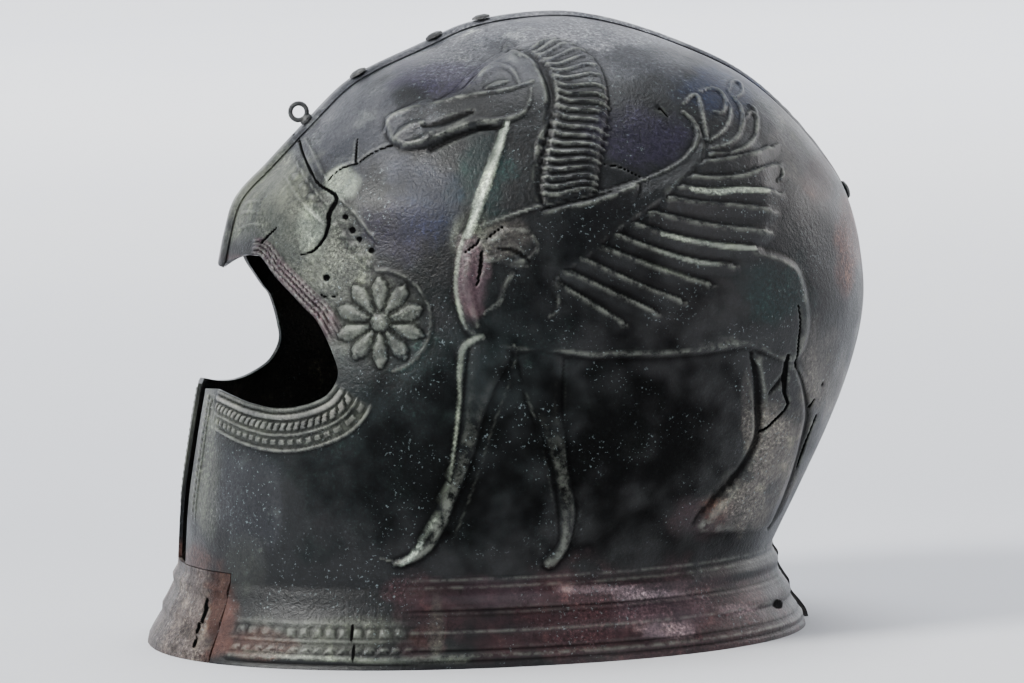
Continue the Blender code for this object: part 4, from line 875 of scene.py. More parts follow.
def inside(points, outline):
    """Which points lie inside a closed outline."""
    x, y = points.T
    result = np.zeros(len(points), bool)
    for a, b in zip(outline, np.roll(outline, -1, axis=0)):
        crosses = (a[1] > y) != (b[1] > y)
        at = a[0] + (y - a[1]) / (b[1] - a[1] if b[1] != a[1] else TINY) * (b[0] - a[0])
        result ^= crosses & (x < at)
    return result


def ease(t):
    """0 up to 0 and 1 from 1 on, with a smooth slope between."""
    t = np.clip(t, 0, 1)
    return t * t * (3 - 2 * t)


STEP = HEIGHT / DRAWING_TALL


def nearest_on(points, line):
    """Distance from each point to an open line in the plane, and the way along it."""
    tree = tree_of(line)
    close = np.array([tree.find((x, y, 0))[1] for x, y in points])
    way = ways_along(line)
    best = np.full(len(points), np.inf)
    along = np.zeros(len(points))
    for step in (-1, 0):
        k = np.clip(close + step, 0, len(line) - 2)
        run = line[k + 1] - line[k]
        length = np.maximum((run * run).sum(1), TINY**2)
        t = np.clip(((points - line[k]) * run).sum(1) / length, 0, 1)
        d = np.linalg.norm(points - line[k] - t[:, None] * run, axis=1)
        closer = d < best
        best[closer] = d[closer]
        along[closer] = (way[k] + t * (way[k + 1] - way[k]))[closer]
    return best, along


def within(points, outline, margin):
    """Which points lie in the box round an outline, with a margin."""
    low, high = outline.min(0) - margin, outline.max(0) + margin
    return ((points > low) & (points < high)).all(1)


def field(drawn, points, softness):
    """1 inside a closed outline of the drawing, easing to 0 at its edge over the softness."""
    outline = rounded(points, True, FIELD_DRAWN)
    result = np.zeros(len(drawn))
    near = within(drawn, outline, 0)
    reach = near.copy()
    reach[near] = inside(drawn[near], outline)
    if reach.any():
        d, _, _ = distance_to(drawn[reach], outline, np.roll(outline, -1, axis=0))
        result[reach] = ease(d * STEP / softness)
    return result


def ridge(drawn, points, power=0.5):
    """1 on a line of the drawing, falling to 0 at half its own width. The power shapes the fall."""
    line = rounded(points, False, LINE_DRAWN)
    result = np.zeros(len(drawn))
    near = within(drawn, line[:, :2], line[:, 2].max())
    if near.any():
        d, k, t = distance_to(drawn[near], line[:-1, :2], line[1:, :2])
        half = (line[k, 2] * (1 - t) + line[k + 1, 2] * t) / 2
        result[near] = np.clip(1 - (d / np.maximum(half, TINY)) ** 2, 0, 1) ** power
    return result


def feather(drawn, points):
    """1 on the upper edge of a feather, falling slowly below it and fast above it."""
    line = rounded(points, False, LINE_DRAWN)
    result = np.zeros(len(drawn))
    near = within(drawn, line, FEATHER_FALL)
    if near.any():
        d, k, _ = distance_to(drawn[near], line[:-1], line[1:])
        run, off = line[k + 1] - line[k], drawn[near] - line[k]
        below = run[:, 0] * off[:, 1] - run[:, 1] * off[:, 0] > 0
        result[near] = np.where(below, 1 - d / FEATHER_FALL, 1 - (d / FEATHER_EDGE) ** 2)
    return np.clip(result, 0, 1)


def spot(drawn, middle, size, rise=1.0):
    """A round dome of the drawing, rising to 1 at most and falling to 0."""
    far = np.linalg.norm(drawn - middle, axis=1)
    return np.clip(rise - (far / size) ** 2, 0, 1)


def raised(height, drawn, lines, share, power=0.5):
    """The greater of a height and this share of each line's ridge."""
    for line in lines:
        height = np.maximum(height, share * ridge(drawn, line, power))
    return height


def cracked(drawn):
    """1 in the open cracks and holes."""
    crack = raised(np.zeros(len(drawn)), drawn, CRACKS, 1.0, 1.0)
    for right, down, size in HOLES:
        crack = np.maximum(crack, spot(drawn, (right, down), size, HOLE_RISE))
    return crack


def petal_line(number):
    """One petal of the rosette, from its foot to its tip."""
    angle = 2 * math.pi * (number + 0.5) / ROSETTE_PETALS
    way = np.array([math.cos(angle), math.sin(angle)])
    middle = np.array(ROSETTE_MIDDLE, float)
    return [(*(middle + way * ROSETTE_RADIUS * far), PETAL_WIDTH * wide) for far, wide in PETAL_SHAPE]


def ring_line(radius, width, first, last):
    """An arc round the rosette."""
    right, down = ROSETTE_MIDDLE
    angles = np.radians(np.linspace(first, last, RING_CUTS))
    return [(right + radius * math.cos(a), down + radius * math.sin(a), width) for a in angles]


def mane_lines():
    """Sagging strands from the neck's ridge to the mane's outer edge."""
    rows = np.array(MANE_ROWS, float)
    lines = []
    for at in np.linspace(0, len(rows) - 1, MANE_STRANDS):
        right, down, tip_right, tip_down = (np.interp(at, range(len(rows)), rows[:, k]) for k in range(4))
        points = []
        for share in MANE_STOPS:
            sag = MANE_SAG * math.sin(2 * math.pi * share)
            width = MANE_WIDTH * (1 - MANE_TAPER * share)
            at_right = right + (tip_right - right) * share
            points.append((at_right, down + (tip_down - down) * share + sag, width))
        lines.append(points)
    return lines


def roughened(points, size, seed):
    """Smooth unevenness from -1 to 1 of about this size."""
    shift = Vector((seed, seed * 2, seed * 3))
    return np.array([noise.noise(Vector(p) / size + shift) for p in points])


def ragged(points, sizes, seed):
    """Unevenness of two sizes, the second at half strength."""
    return roughened(points, sizes[0], seed) + 0.5 * roughened(points, sizes[1], seed + 1)


def relief_of(drawn):
    """Height of the horse, the rosette and the brow's lines above the plain shell."""
    figure = np.zeros(len(drawn))
    for outline, height, softness in FIELDS:
        figure = np.maximum(figure, height * field(drawn, outline, softness))
    figure = raised(figure, drawn, FORE_LEGS, LEG_HEIGHT, LEG_POWER)
    fine = ARM_HEIGHT * field(drawn, WING_ARM, ARM_SOFTNESS) * ease((drawn[:, 0] - ARM_START) / ARM_FADE)
    for lines, height in LINE_GROUPS:
        fine = raised(fine, drawn, lines, height)
    fine = raised(fine, drawn, mane_lines(), MANE_HEIGHT, MANE_POWER)
    for row in FEATHERS:
        fine = np.maximum(fine, feather(drawn, np.array(row, float).reshape(-1, 2)))
    for number in range(ROSETTE_PETALS):
        shape = ridge(drawn, petal_line(number))
        fine = np.maximum(fine, np.where(shape > 0, PETAL_BASE + PETAL_RISE * shape, 0))
    fine = np.where(fine < FAINT, 0, fine)
    fine = raised(fine, drawn, [ring_line(*ROSETTE_RING)], RING_HEIGHT)
    fine = np.maximum(fine, BOSS_HEIGHT * np.sqrt(spot(drawn, ROSETTE_MIDDLE, ROSETTE_BOSS)))
    fine = raised(fine, drawn, BROW_LINES, BROW_LINE_HEIGHT)
    for dot in BROW_DOTS:
        fine = np.maximum(fine, DOT_HEIGHT * np.sqrt(spot(drawn, dot, DOT_SIZE)))
    return FIGURE_RELIEF * figure + DETAIL_RELIEF * fine


def pulse(phase, share):
    """1 over this share of each period, with soft sides."""
    wave = np.cos(2 * math.pi * phase)
    return ease((wave - math.cos(math.pi * share)) * PULSE_SIDES + 0.5)


def swell(away, width):
    """A half round rise of this width."""
    return np.sqrt(np.clip(1 - (away / (width / 2)) ** 2, 0, 1))


def slab(away, width):
    """A flat rise of this width with soft sides."""
    return ease((1 - np.abs(away) / (width / 2)) * SLAB_SIDES)


class Shell:
    """Boundary and surface of one half, seen as the left one."""

    def __init__(self, chart, over):
        self.chart = chart
        self.over = over
        slit_turn = turn_at(SLIT_WIDTH / 2, FLARE_HEIGHT, False)
        self.face = self.face_line(slit_turn)
        self.lap = self.lap_line(LAP / 2)
        self.stations = self.flare_stations()
        self.bottom = self.bottom_line(slit_turn)

    def face_line(self, slit_turn):
        """Slit, cheek top, eye corner and brow, ending past the median at the brow peak."""
        drawn = rounded(FACE_EDGE, False, EDGE_SPACING / STEP)
        pressed = self.chart.press(drawn)[::-1]
        cheek_top = self.chart.place(pressed[:1])[0]
        heights = np.linspace(FLARE_HEIGHT, cheek_top[2], SLIT_POINTS)[:-1]
        turns = [turn_at(SLIT_WIDTH / 2, z, False) for z in heights]
        places = [at_turn(np.array([t]), z) for t, z in zip(turns, heights)]
        slit = self.chart.find(np.concatenate(places))
        peak = self.chart.place(pressed[-1:])[0]
        edge = self.chart.find(np.array([at_turn(np.array([0.0]), peak[2] - PEAK_DROP)[0]]))[0]
        near = self.to_median(pressed[-1:])[0]
        start = math.atan2(pressed[-1, 1], pressed[-1, 0])
        end = math.atan2(edge[1], edge[0])
        brow = []
        stops = [LAP / 2 + GAP + LAP_RAMP, LAP / 2 + GAP, LAP / 4, 0, -LAP / 4, -LAP / 2]
        stops = list(np.linspace(near, stops[0], BROW_POINTS)[1:-1]) + stops
        for distance in stops:
            bearing = start + (end - start) * ease((near - distance) / (near + LAP / 2))
            way = self.chart.edge_at(bearing) - distance
            brow.append((math.cos(bearing) * way, math.sin(bearing) * way))
        face = np.concatenate([slit, pressed, brow])
        way = ways_along(face)
        self.corner = way[len(slit)]
        eye = np.argmin(np.linalg.norm(drawn[::-1] - EYE_CORNER, axis=1))
        self.eye = way[len(slit) + eye]
        self.brow_end = way[len(slit) + len(pressed) - 1]
        return face

    def lap_line(self, past):
        """A line at one distance past the median, from the brow peak over the crown to the nape."""
        start = math.atan2(self.face[-1, 1], self.face[-1, 0])
        nape = at_turn(np.array([turn_at(-past, FLARE_HEIGHT, True)]), FLARE_HEIGHT)
        end = self.chart.find(nape)[0]
        end = math.atan2(end[1], end[0])
        start = start + 2 * math.pi if start < 0 else start
        fine = np.linspace(start, end, LAP_SAMPLES)
        wrapped = (fine + math.pi) % (2 * math.pi) - math.pi
        way = self.chart.edge_at(wrapped) + past
        line = np.stack([np.cos(fine) * way, np.sin(fine) * way], 1)
        run = ways_along(self.chart.place(line))
        even = np.linspace(0, run[-1], round(run[-1] / LAP_STATION) + 1)
        return np.stack([np.interp(even, run, line[:, k]) for k in (0, 1)], 1)

    def flare_stations(self):
        """Turns of the flare's columns, from the infill round to past the back median."""
        ramp_end = LAP / 2 + GAP + FLARE_RAMP
        first = turn_at(INFILL_WIDTH / 2 + GAP / 2, FLARE_HEIGHT, False)
        last = turn_at(ramp_end, FLARE_HEIGHT, True)
        fine = np.linspace(first, last, FLARE_SAMPLES)
        way = ways_along(at_turn(fine, FLARE_HEIGHT))
        front = np.arange(0, FINE_STRETCH, FINE_STATIONS)
        back = np.linspace(FINE_STRETCH, way[-1], round((way[-1] - FINE_STRETCH) / FLARE_STATION))
        turns = list(np.interp(np.concatenate([front, back]), way, fine))
        ramp = [LAP / 2 + GAP + FLARE_RAMP * share for share in RAMP_SHARES]
        for y in ramp + [LAP / 4, 0.0, -LAP / 4, -LAP / 2]:
            turns.append(turn_at(y, FLARE_HEIGHT, True))
        return np.array(turns)

    def bottom_line(self, slit_turn):
        """Map points from the nape round to the slit. The flare joins at its stations."""
        ahead = np.linspace(slit_turn, self.stations[0], AHEAD_POINTS)[1:-1]
        turns = np.concatenate([self.stations[::-1], ahead[::-1]])
        return self.chart.find(at_turn(turns, FLARE_HEIGHT))

    def boundary(self):
        """The half's whole outline on the map."""
        return np.concatenate([self.face, self.lap[1:-1], self.bottom])

    def rise(self, to_median, ramp):
        """How much of the lift over the left half the right half has, by distance to the median."""
        if not self.over:
            return np.zeros(len(to_median))
        return np.clip((LAP / 2 + GAP + ramp - to_median) / ramp, 0, 1)

    def to_median(self, flat):
        """Distance to the median on the map, below 0 past it."""
        return self.chart.edge_at(np.arctan2(flat[:, 1], flat[:, 0])) - np.hypot(flat[:, 0], flat[:, 1])

    def edge_relief(self, flat):
        """Bands beside the face opening: rolls, cable and beads on the cheek, ribs under the brow."""
        d, s = nearest_on(flat, self.face)
        cheek = ease((s - self.corner) / CORNER_FADE) * ease((self.eye - s) / EYE_FADE)
        slit = ease((self.corner - s) / CORNER_FADE) * ease((s - SLIT_START) / SLIT_FADE)
        brow = ease((s - self.eye - BROW_START) / BROW_FADE)
        brow = brow * ease((self.brow_end - s + PEAK_START) / PEAK_FADE)
        height = np.zeros(len(flat))
        for bands, share in ((CHEEK_BANDS, cheek), (FRONT_LINES, slit), (BROW_RIBS, brow)):
            for middle, width, rise in bands:
                height = np.maximum(height, rise * share * swell(d - middle, width))
        for (middle, width, pitch, rise), share in ((BEADS, cheek), (FRONT_BEADS, slit)):
            beads = pulse(s / pitch, BEAD_SHARE) * slab(d - middle, width)
            height = np.maximum(height, rise * share * beads)
        middle, width, pitch, rise = CABLE
        cable = pulse(s / pitch + (d - middle) / width * CABLE_SLANT, CABLE_SHARE) * slab(d - middle, width)
        height = np.maximum(height, rise * cheek * cable)
        self.brow_band = brow * ease((BROW_STRIP[0] - d) / BROW_STRIP[1])
        self.cheek_band = (cheek + slit) * ease((CHEEK_STRIP[0] - d) / CHEEK_STRIP[1])
        return BORDER_RELIEF * height, d

    def banded(self, flat):
        """Which map points lie in the fine bands beside the cheek's edge."""
        d, s = nearest_on(flat, self.face)
        return (d < EDGE_DETAIL) & (s > BAND_START) & (s < self.eye + EDGE_SPACING)

    def clear(self, flat):
        """0 on the lap and at the neck, where the sheet stays plain, and 1 away from them."""
        clear = ease((self.to_median(flat) - LAP / 2 - LAP_RAMP - GAP) / LAP_RAMP)
        return clear * ease((self.chart.place(flat)[:, 2] - FLARE_HEIGHT) / EDGE_SOFTNESS)

    def outside(self, flat):
        """Outer points of the shell and what the patina and the painted light and shade need to know about
        each.
        """
        place = self.chart.place(flat)
        drawn = drawing_of(place)
        crack = cracked(drawn)
        fold = raised(np.zeros(len(drawn)), drawn, FOLDS, 1.0, FOLD_POWER)
        border, from_edge = self.edge_relief(flat)
        clear = self.clear(flat)
        beaten = sum(roughened(place, size, seed) * depth for size, seed, depth in HAMMERING)
        height = np.maximum(relief_of(drawn), border) * clear
        height = height + np.minimum(beaten, 0) * ease(from_edge / HAMMER_FADE)
        height = height - CRACK_DEPTH * crack - FOLD_DEPTH * fold * clear
        thinned = ease((LAP_THINNED - LAP / 2 - self.to_median(flat)) / LAP_THINNED) * self.over
        lift = self.lift(flat) + height - thinned * (WALL - LAP_EDGE)
        normals = self.chart.normals(flat)
        looks = {"drawn": drawn, "crack": crack, "fold": fold, "height": height,
                 "brow": self.brow_band, "border": self.cheek_band}
        return place + normals * lift[:, None], looks

    def lift(self, flat):
        """How far the right half stands off the plain shell to lie over the left one."""
        return self.rise(self.to_median(flat), LAP_RAMP) * (WALL + GAP)

    def inner(self, flat):
        """Inner points of the shell."""
        return self.chart.place(flat) + self.chart.normals(flat) * (self.lift(flat) - WALL)[:, None]


def keep_inside(lines, outline, margin):
    """The stretches of lines that lie inside the outline and clear of it."""
    kept = []
    for points in lines:
        d, _ = nearest_on(points, np.concatenate([outline, outline[:1]]))
        good = inside(points, outline) & (d > margin)
        run = []
        for point, fine in [*zip(points, good), (None, False)]:
            if fine:
                run.append(point)
                continue
            if len(run) > 1:
                kept.append(np.array(run))
            run = []
    return kept


def grid(outline, spacing):
    """Points of a triangular grid inside an outline."""
    low, high = outline.min(0), outline.max(0)
    rows = np.arange(low[1], high[1], spacing * math.sqrt(0.75))
    made = []
    for k, y in enumerate(rows):
        xs = np.arange(low[0] + (k % 2) * spacing / 2, high[0], spacing)
        made.append(np.stack([xs, np.full(len(xs), y)], 1))
    made = np.concatenate(made)
    return made[inside(made, outline)]


def detailed(shell, flat):
    """Which map points lie where the relief is fine."""
    drawn = drawing_of(shell.chart.place(flat))
    busy = nearest_on(flat, shell.face)[0] < EDGE_DETAIL
    for left, top, right, bottom in DETAIL_BOXES:
        busy |= (drawn[:, 0] > left) & (drawn[:, 0] < right) & (drawn[:, 1] > top) & (drawn[:, 1] < bottom)
    return busy & (shell.to_median(flat) > 0)


def fill_points(shell, outline, lines, coarse):
    """Points of triangular grids inside the outline and clear of the lines: fine where the relief
    is fine."""
    if coarse:
        parts = [(grid(outline, INNER_SPACING), INNER_SPACING)]
    else:
        finest = grid(outline, FINEST_SPACING)
        fine = grid(outline, FINE_SPACING)
        plain_grid = grid(outline, PLAIN_SPACING)
        parts = [
            (finest[shell.banded(finest)], FINEST_SPACING),
            (fine[detailed(shell, fine) & ~shell.banded(fine)], FINE_SPACING),
            (plain_grid[~detailed(shell, plain_grid)], PLAIN_SPACING),
        ]
    tree = tree_of(np.concatenate([outline, outline[:1]] + lines))
    kept = []
    for points, spacing in parts:
        d = np.array([tree.find((x, y, 0))[2] for x, y in points])
        kept.append(points[d > max(spacing * CROWDING, LEAST_APART)])
    return np.concatenate(kept)


def triangulated(shell, outline, lines, coarse):
    """Map points and triangles inside the outline. The outline's points come first, in order."""
    points = [outline]
    edges = [(k, (k + 1) % len(outline)) for k in range(len(outline))]
    count = len(outline)
    for line in lines:
        points.append(line)
        edges += [(count + k, count + k + 1) for k in range(len(line) - 1)]
        count += len(line)
    points.append(fill_points(shell, outline, lines, coarse))
    every = np.concatenate(points)
    found = delaunay_2d_cdt([Vector(p * MESH_SCALE) for p in every], edges, [], 0, MESH_TOLERANCE)
    flat = np.array([tuple(v) for v in found[0]]) / MESH_SCALE
    faces = np.array(found[2])
    place = {}
    for new, old in enumerate(found[3]):
        for k in old:
            if k < len(outline):
                place[k] = new
    faces = faces[inside(flat[faces].mean(1), outline)]
    order = [place[k] for k in range(len(outline))]
    taken = set(order)
    rest = [k for k in range(len(flat)) if k not in taken]
    new_of = np.empty(len(flat), int)
    new_of[order + rest] = np.arange(len(flat))
    flat = flat[order + rest]
    flat[: len(outline)] = outline
    faces = new_of[faces]
    a, b, c = flat[faces[:, 0]], flat[faces[:, 1]], flat[faces[:, 2]]
    turn = (b - a)[:, 0] * (c - a)[:, 1] - (b - a)[:, 1] * (c - a)[:, 0]
    faces[turn < 0] = faces[turn < 0][:, ::-1]
    return flat, faces[np.abs(turn) > TINY]


def flare_points(turns, drop, reach, thick, rise):
    """Grid of flare points: a row for each drop, a column for each turn."""
    base = at_turn(turns, FLARE_HEIGHT)
    along = at_turn(turns + TURN_NUDGE, FLARE_HEIGHT) - at_turn(turns - TURN_NUDGE, FLARE_HEIGHT)
    out = np.stack([along[:, 1], -along[:, 0], 0 * along[:, 0]], 1)
    out = out / np.linalg.norm(out, axis=1, keepdims=True)
    rows = base[None] + out[None] * (reach + thick[:, None] * rise[None])[:, :, None]
    rows[:, :, 2] = FLARE_HEIGHT - drop[:, None]
    return rows


def flare(shell, rise):
    """Outer and inner flare grids and, for the outer one, how high its relief stands."""
    share = np.linspace(0, 1, FLARE_ROWS)
    drops = column(FLARE_PROFILE, FLARE_COLUMNS, "drop")
    moulded = smooth(drops, column(FLARE_PROFILE, FLARE_COLUMNS, "reach"), share) * FLARE_REACH
    straight = smooth(drops, column(FLARE_SMOOTH, FLARE_COLUMNS, "reach"), share) * FLARE_REACH
    thick = WALL + (RIM_THICKNESS - WALL) * ease((share - RIM_START) / (1 - RIM_START))
    base = at_turn(shell.stations, FLARE_HEIGHT)
    way = ways_along(base)
    behind = ease((way - FLARE_BREAK[0]) / (FLARE_BREAK[1] - FLARE_BREAK[0]))
    ahead = 1 - behind
    shown = ahead * ease((way - FLARE_BEGIN[0]) / (FLARE_BEGIN[1] - FLARE_BEGIN[0]))
    reach = moulded[:, None] * behind[None] + straight[:, None] * ahead[None]
    relief = np.zeros_like(reach)
    for lines, where in ((FLARE_RINGS, behind), (FLARE_LINES, shown)):
        for drop, width, height in lines:
            relief += height * swell(share - drop, width)[:, None] * where[None]
    for (drop, width, pitch), slant in ((FLARE_BEADS, 0), (FLARE_CABLE, FLARE_SLANT)):
        phase = (way / pitch)[None] + ((share - drop) / width * slant)[:, None]
        band = slab(share - drop, width)[:, None] * pulse(phase, FLARE_SHARE)
        relief += FLARE_RELIEF * band * shown[None]
    fade = ease(share / NECK_FADE)[:, None] * ease((1 - share) / RIM_FADE)[:, None]
    worn = roughened(base, *FLARE_WEAR) * WEAR_DEPTH
    relief = (relief + worn[None] * (share * (1 - share) * WORN_MIDDLE)[:, None]) * fade
    relief = relief * (1 - np.clip(rise, 0, 1))[None]
    outer = flare_points(shell.stations, share * FLARE_HEIGHT, reach + relief, thick + GAP, rise)
    rows = np.array(sorted(set(np.linspace(0, FLARE_ROWS - 1, INNER_ROWS).astype(int))))
    wall = reach[rows] - thick[rows, None]
    inner = flare_points(shell.stations, share[rows] * FLARE_HEIGHT, wall, (thick + GAP)[rows], rise)
    return outer, inner, relief


def spread_looks(looks, edge, inner, flare_drawn, flare_relief, under):
    """The outer sheet's looks, then those of the inner sheet, the flare and the flare's inside. The
    first vertices of the inner sheet lie along its edge and look as the outer ones there."""
    flare_looks = {"drawn": flare_drawn, "height": flare_relief, "crack": cracked(flare_drawn)}
    every = {}
    for name, values in looks.items():
        blank = np.zeros((inner + len(flare_drawn) + under, *values.shape[1:]))
        back, flared, last = np.split(blank, (inner, inner + len(flare_drawn)))
        if name == "drawn":
            back[:edge] = values[:edge]
        every[name] = np.concatenate([values, back, flare_looks.get(name, flared), last])
    hidden = np.ones(inner)
    hidden[:edge] = 0
    seen = np.zeros(len(looks["drawn"]))
    every["within"] = np.concatenate([seen, hidden, np.zeros(len(flare_drawn)), np.ones(under)])
    return every


def half_mesh(shell):
    """Vertices and faces of one half, as the left one, and the looks of each vertex."""
    outline = shell.boundary()
    along_lap = []
    for to_median in (0, LAP / 2 + GAP, LAP / 2 + GAP + LAP_RAMP):
        way = np.linalg.norm(shell.lap, axis=1, keepdims=True)
        along_lap.append(shell.lap * (way - LAP / 2 - to_median) / way)
    lines = keep_inside(along_lap, outline, LINE_CLEARANCE)
    outer_flat, outer_faces = triangulated(shell, outline, lines, False)
    inner_flat, inner_faces = triangulated(shell, outline, lines, True)
    outer, looks = shell.outside(outer_flat)
    inner = shell.inner(inner_flat)
    first = len(shell.face) + len(shell.lap) - 2
    joined = np.arange(first, first + len(shell.stations))[::-1]
    side = np.where(shell.stations > math.pi, -1, 1)
    off_median = np.abs(at_turn(shell.stations, FLARE_HEIGHT)[:, 1]) * side
    behind = shell.stations > math.pi / 2
    rise = np.where(behind, ease(shell.rise(off_median, FLARE_RAMP)), 0)
    outside, wall, relief = flare(shell, rise)
    outer[joined] = outside[0]
    inner[joined] = wall[0]
    columns = len(shell.stations)
    top = len(outer) + len(inner)
    below = np.arange((len(outside) - 1) * columns).reshape(-1, columns)
    under = np.arange((len(wall) - 1) * columns).reshape(-1, columns)
    outer_rows = np.concatenate([[joined], top + below])
    inner_rows = np.concatenate([[len(outer) + joined], top + below.size + under])
    quads = []
    for rows in (outer_rows, inner_rows):
        for high, low in zip(rows[:-1], rows[1:]):
            quads += list(zip(high[:-1], low[:-1], low[1:], high[1:]))
    quads += list(zip(outer_rows[-1, :-1], inner_rows[-1, :-1], inner_rows[-1, 1:], outer_rows[-1, 1:]))
    taken = set(joined.tolist())
    for k in range(len(outline)):
        n = (k + 1) % len(outline)
        if not (k in taken and n in taken):
            quads.append((k, len(outer) + k, len(outer) + n, n))
    ends = [tuple(outer_rows[:, c]) + tuple(inner_rows[::-1, c]) for c in (0, -1)]
    vertices = np.concatenate([outer, inner, outside[1:].reshape(-1, 3), wall[1:].reshape(-1, 3)])
    faces = [tuple(f) for f in outer_faces] + [tuple(f) for f in inner_faces[:, ::-1] + len(outer)]
    flare_drawn = drawing_of(outside[1:].reshape(-1, 3))
    every = spread_looks(looks, len(outline), len(inner), flare_drawn, relief[1:].ravel(), under.size)
    return vertices, faces + quads + ends, every


def toward(colour, name, share):
    """Colours moved this share of the way to one of the listed colours, which hold patinas and painted
    light and shade.
    """
    return colour * (1 - share[:, None]) + np.array(PATINA_AND_LIGHT_COLOURS[name]) * share[:, None]


def patina_and_painted_light(points, looks, seed):
    """Colour and gloss of each vertex from the patches of the drawing, with ragged edges: patina, with
    painted shade, sheen and highlights among the patches and streaks.
    """
    drawn = looks["drawn"]
    colour = np.tile(np.array(DARK), (len(points), 1))
    gloss = np.ones(len(points))
    uneven = ragged(points, PATCH_SIZES, seed)
    # The patches hold patina, and also painted shade, painted sheen and painted highlights.
    for name, right, down, wide, tall, strength in PATCHES:
        away = np.hypot((drawn[:, 0] - right) / wide, (drawn[:, 1] - down) / tall) + PATCH_RAGGED * uneven
        share = strength * ease((1.0 - away) / PATCH_EDGES.get(name, PATCH_FADE))
        colour = toward(colour, name, share)
        gloss = gloss * (1 - share) + GLOSS.get(name, 1.0) * share
    # This ragged mask breaks up the streaks, mostly painted highlights, and the bone colour on the rolls, a
    # painted highlight.
    worn = ease(1.0 + uneven)
    for name, strength, line in STREAKS:
        share = strength * ridge(drawn, line, STREAK_POWER) * (1 - looks["within"]) * worn
        colour = toward(colour, name, share)
    colour = toward(colour, "plum", looks["brow"] * BROW_STAIN)
    colour = toward(colour, "olive", looks["border"] * BORDER_STAIN * ease(BORDER_EVEN + uneven))
    # The crests of the cheek's rolls are lightened to bone: a painted highlight.
    high = np.clip(looks["height"] / BORDER_RELIEF - BORDER_LOW, 0, BORDER_MOST)
    colour = toward(colour, "bone_highlight", looks["border"] * high * worn)
    inner = looks["within"][:, None]
    dull = np.array(INSIDE) * (1.0 + INSIDE_RAGGED * uneven[:, None])
    return colour * (1 - inner) + dull * inner, gloss


def crests(mesh, height):
    """How much each vertex stands above (positive) or below its surroundings, in metres."""
    count = len(mesh.vertices)
    edges = np.empty(len(mesh.edges) * 2, np.int32)
    mesh.edges.foreach_get("vertices", edges)
    a, b = edges.reshape(-1, 2).T
    around = height.copy()
    links = np.bincount(a, minlength=count) + np.bincount(b, minlength=count)
    for _ in range(CREST_ROUNDS):
        total = np.bincount(a, around[b], count) + np.bincount(b, around[a], count)
        around = (around + total) / (1 + links)
    return height - around


def store(mesh, colour, values):
    """Keeps on the vertices the looks that the bronze reads."""
    rgba = np.ones((len(colour), 4))
    rgba[:, :3] = colour
    mesh.attributes.new("patina_and_painted_light", "FLOAT_COLOR", "POINT").data.foreach_set("color", rgba.ravel())
    for key, value in values.items():
        mesh.attributes.new(key, "FLOAT", "POINT").data.foreach_set("value", np.clip(value, 0, 1))


def placed(name, data):
    """A new object in the scene."""
    obj = bpy.data.objects.new(name, data)
    bpy.context.scene.collection.objects.link(obj)
    return obj


def half(name, chart, over, seed):
    """One half as an object with its looks stored on its vertices."""
    points, faces, looks = half_mesh(Shell(chart, over))
    if over:
        points = points * [1, -1, 1]
    mesh = bpy.data.meshes.new(name)
    mesh.from_pydata(points.tolist(), [], [[int(k) for k in f] for f in faces])
    work = bmesh.new()
    work.from_mesh(mesh)
    bmesh.ops.triangulate(work, faces=[f for f in work.faces if len(f.verts) > 3])
    bmesh.ops.recalc_face_normals(work, faces=work.faces)
    if work.calc_volume(signed=True) < 0:
        bmesh.ops.reverse_faces(work, faces=work.faces)
    work.to_mesh(mesh)
    work.free()
    mesh.shade_smooth()
    mesh.set_sharp_from_angle(angle=math.radians(SHARP_ANGLE))
    colour, gloss = patina_and_painted_light(points, looks, seed)
    crest = crests(mesh, looks["height"])
    # Hollows and folds are darkened with painted shade; crests are lightened, partly as wear and partly as
    # a painted highlight.
    hollow_shade_and_pits = np.clip(-crest / HOLLOW_SHADE_RUN, 0, 1) * HOLLOW_SHADE_SHARE + FOLD_SHADE_SHARE * looks["fold"]
    store(mesh, colour, {
        "worn": np.clip((crest - WEAR_AND_HIGHLIGHT_START) / WEAR_AND_HIGHLIGHT_RUN, 0, 1) * (1 - looks["within"]),
        "hollow_shade_and_pits": hollow_shade_and_pits,
        "crack": looks["crack"],
        "gloss": gloss,
    })
    return placed(name, mesh)


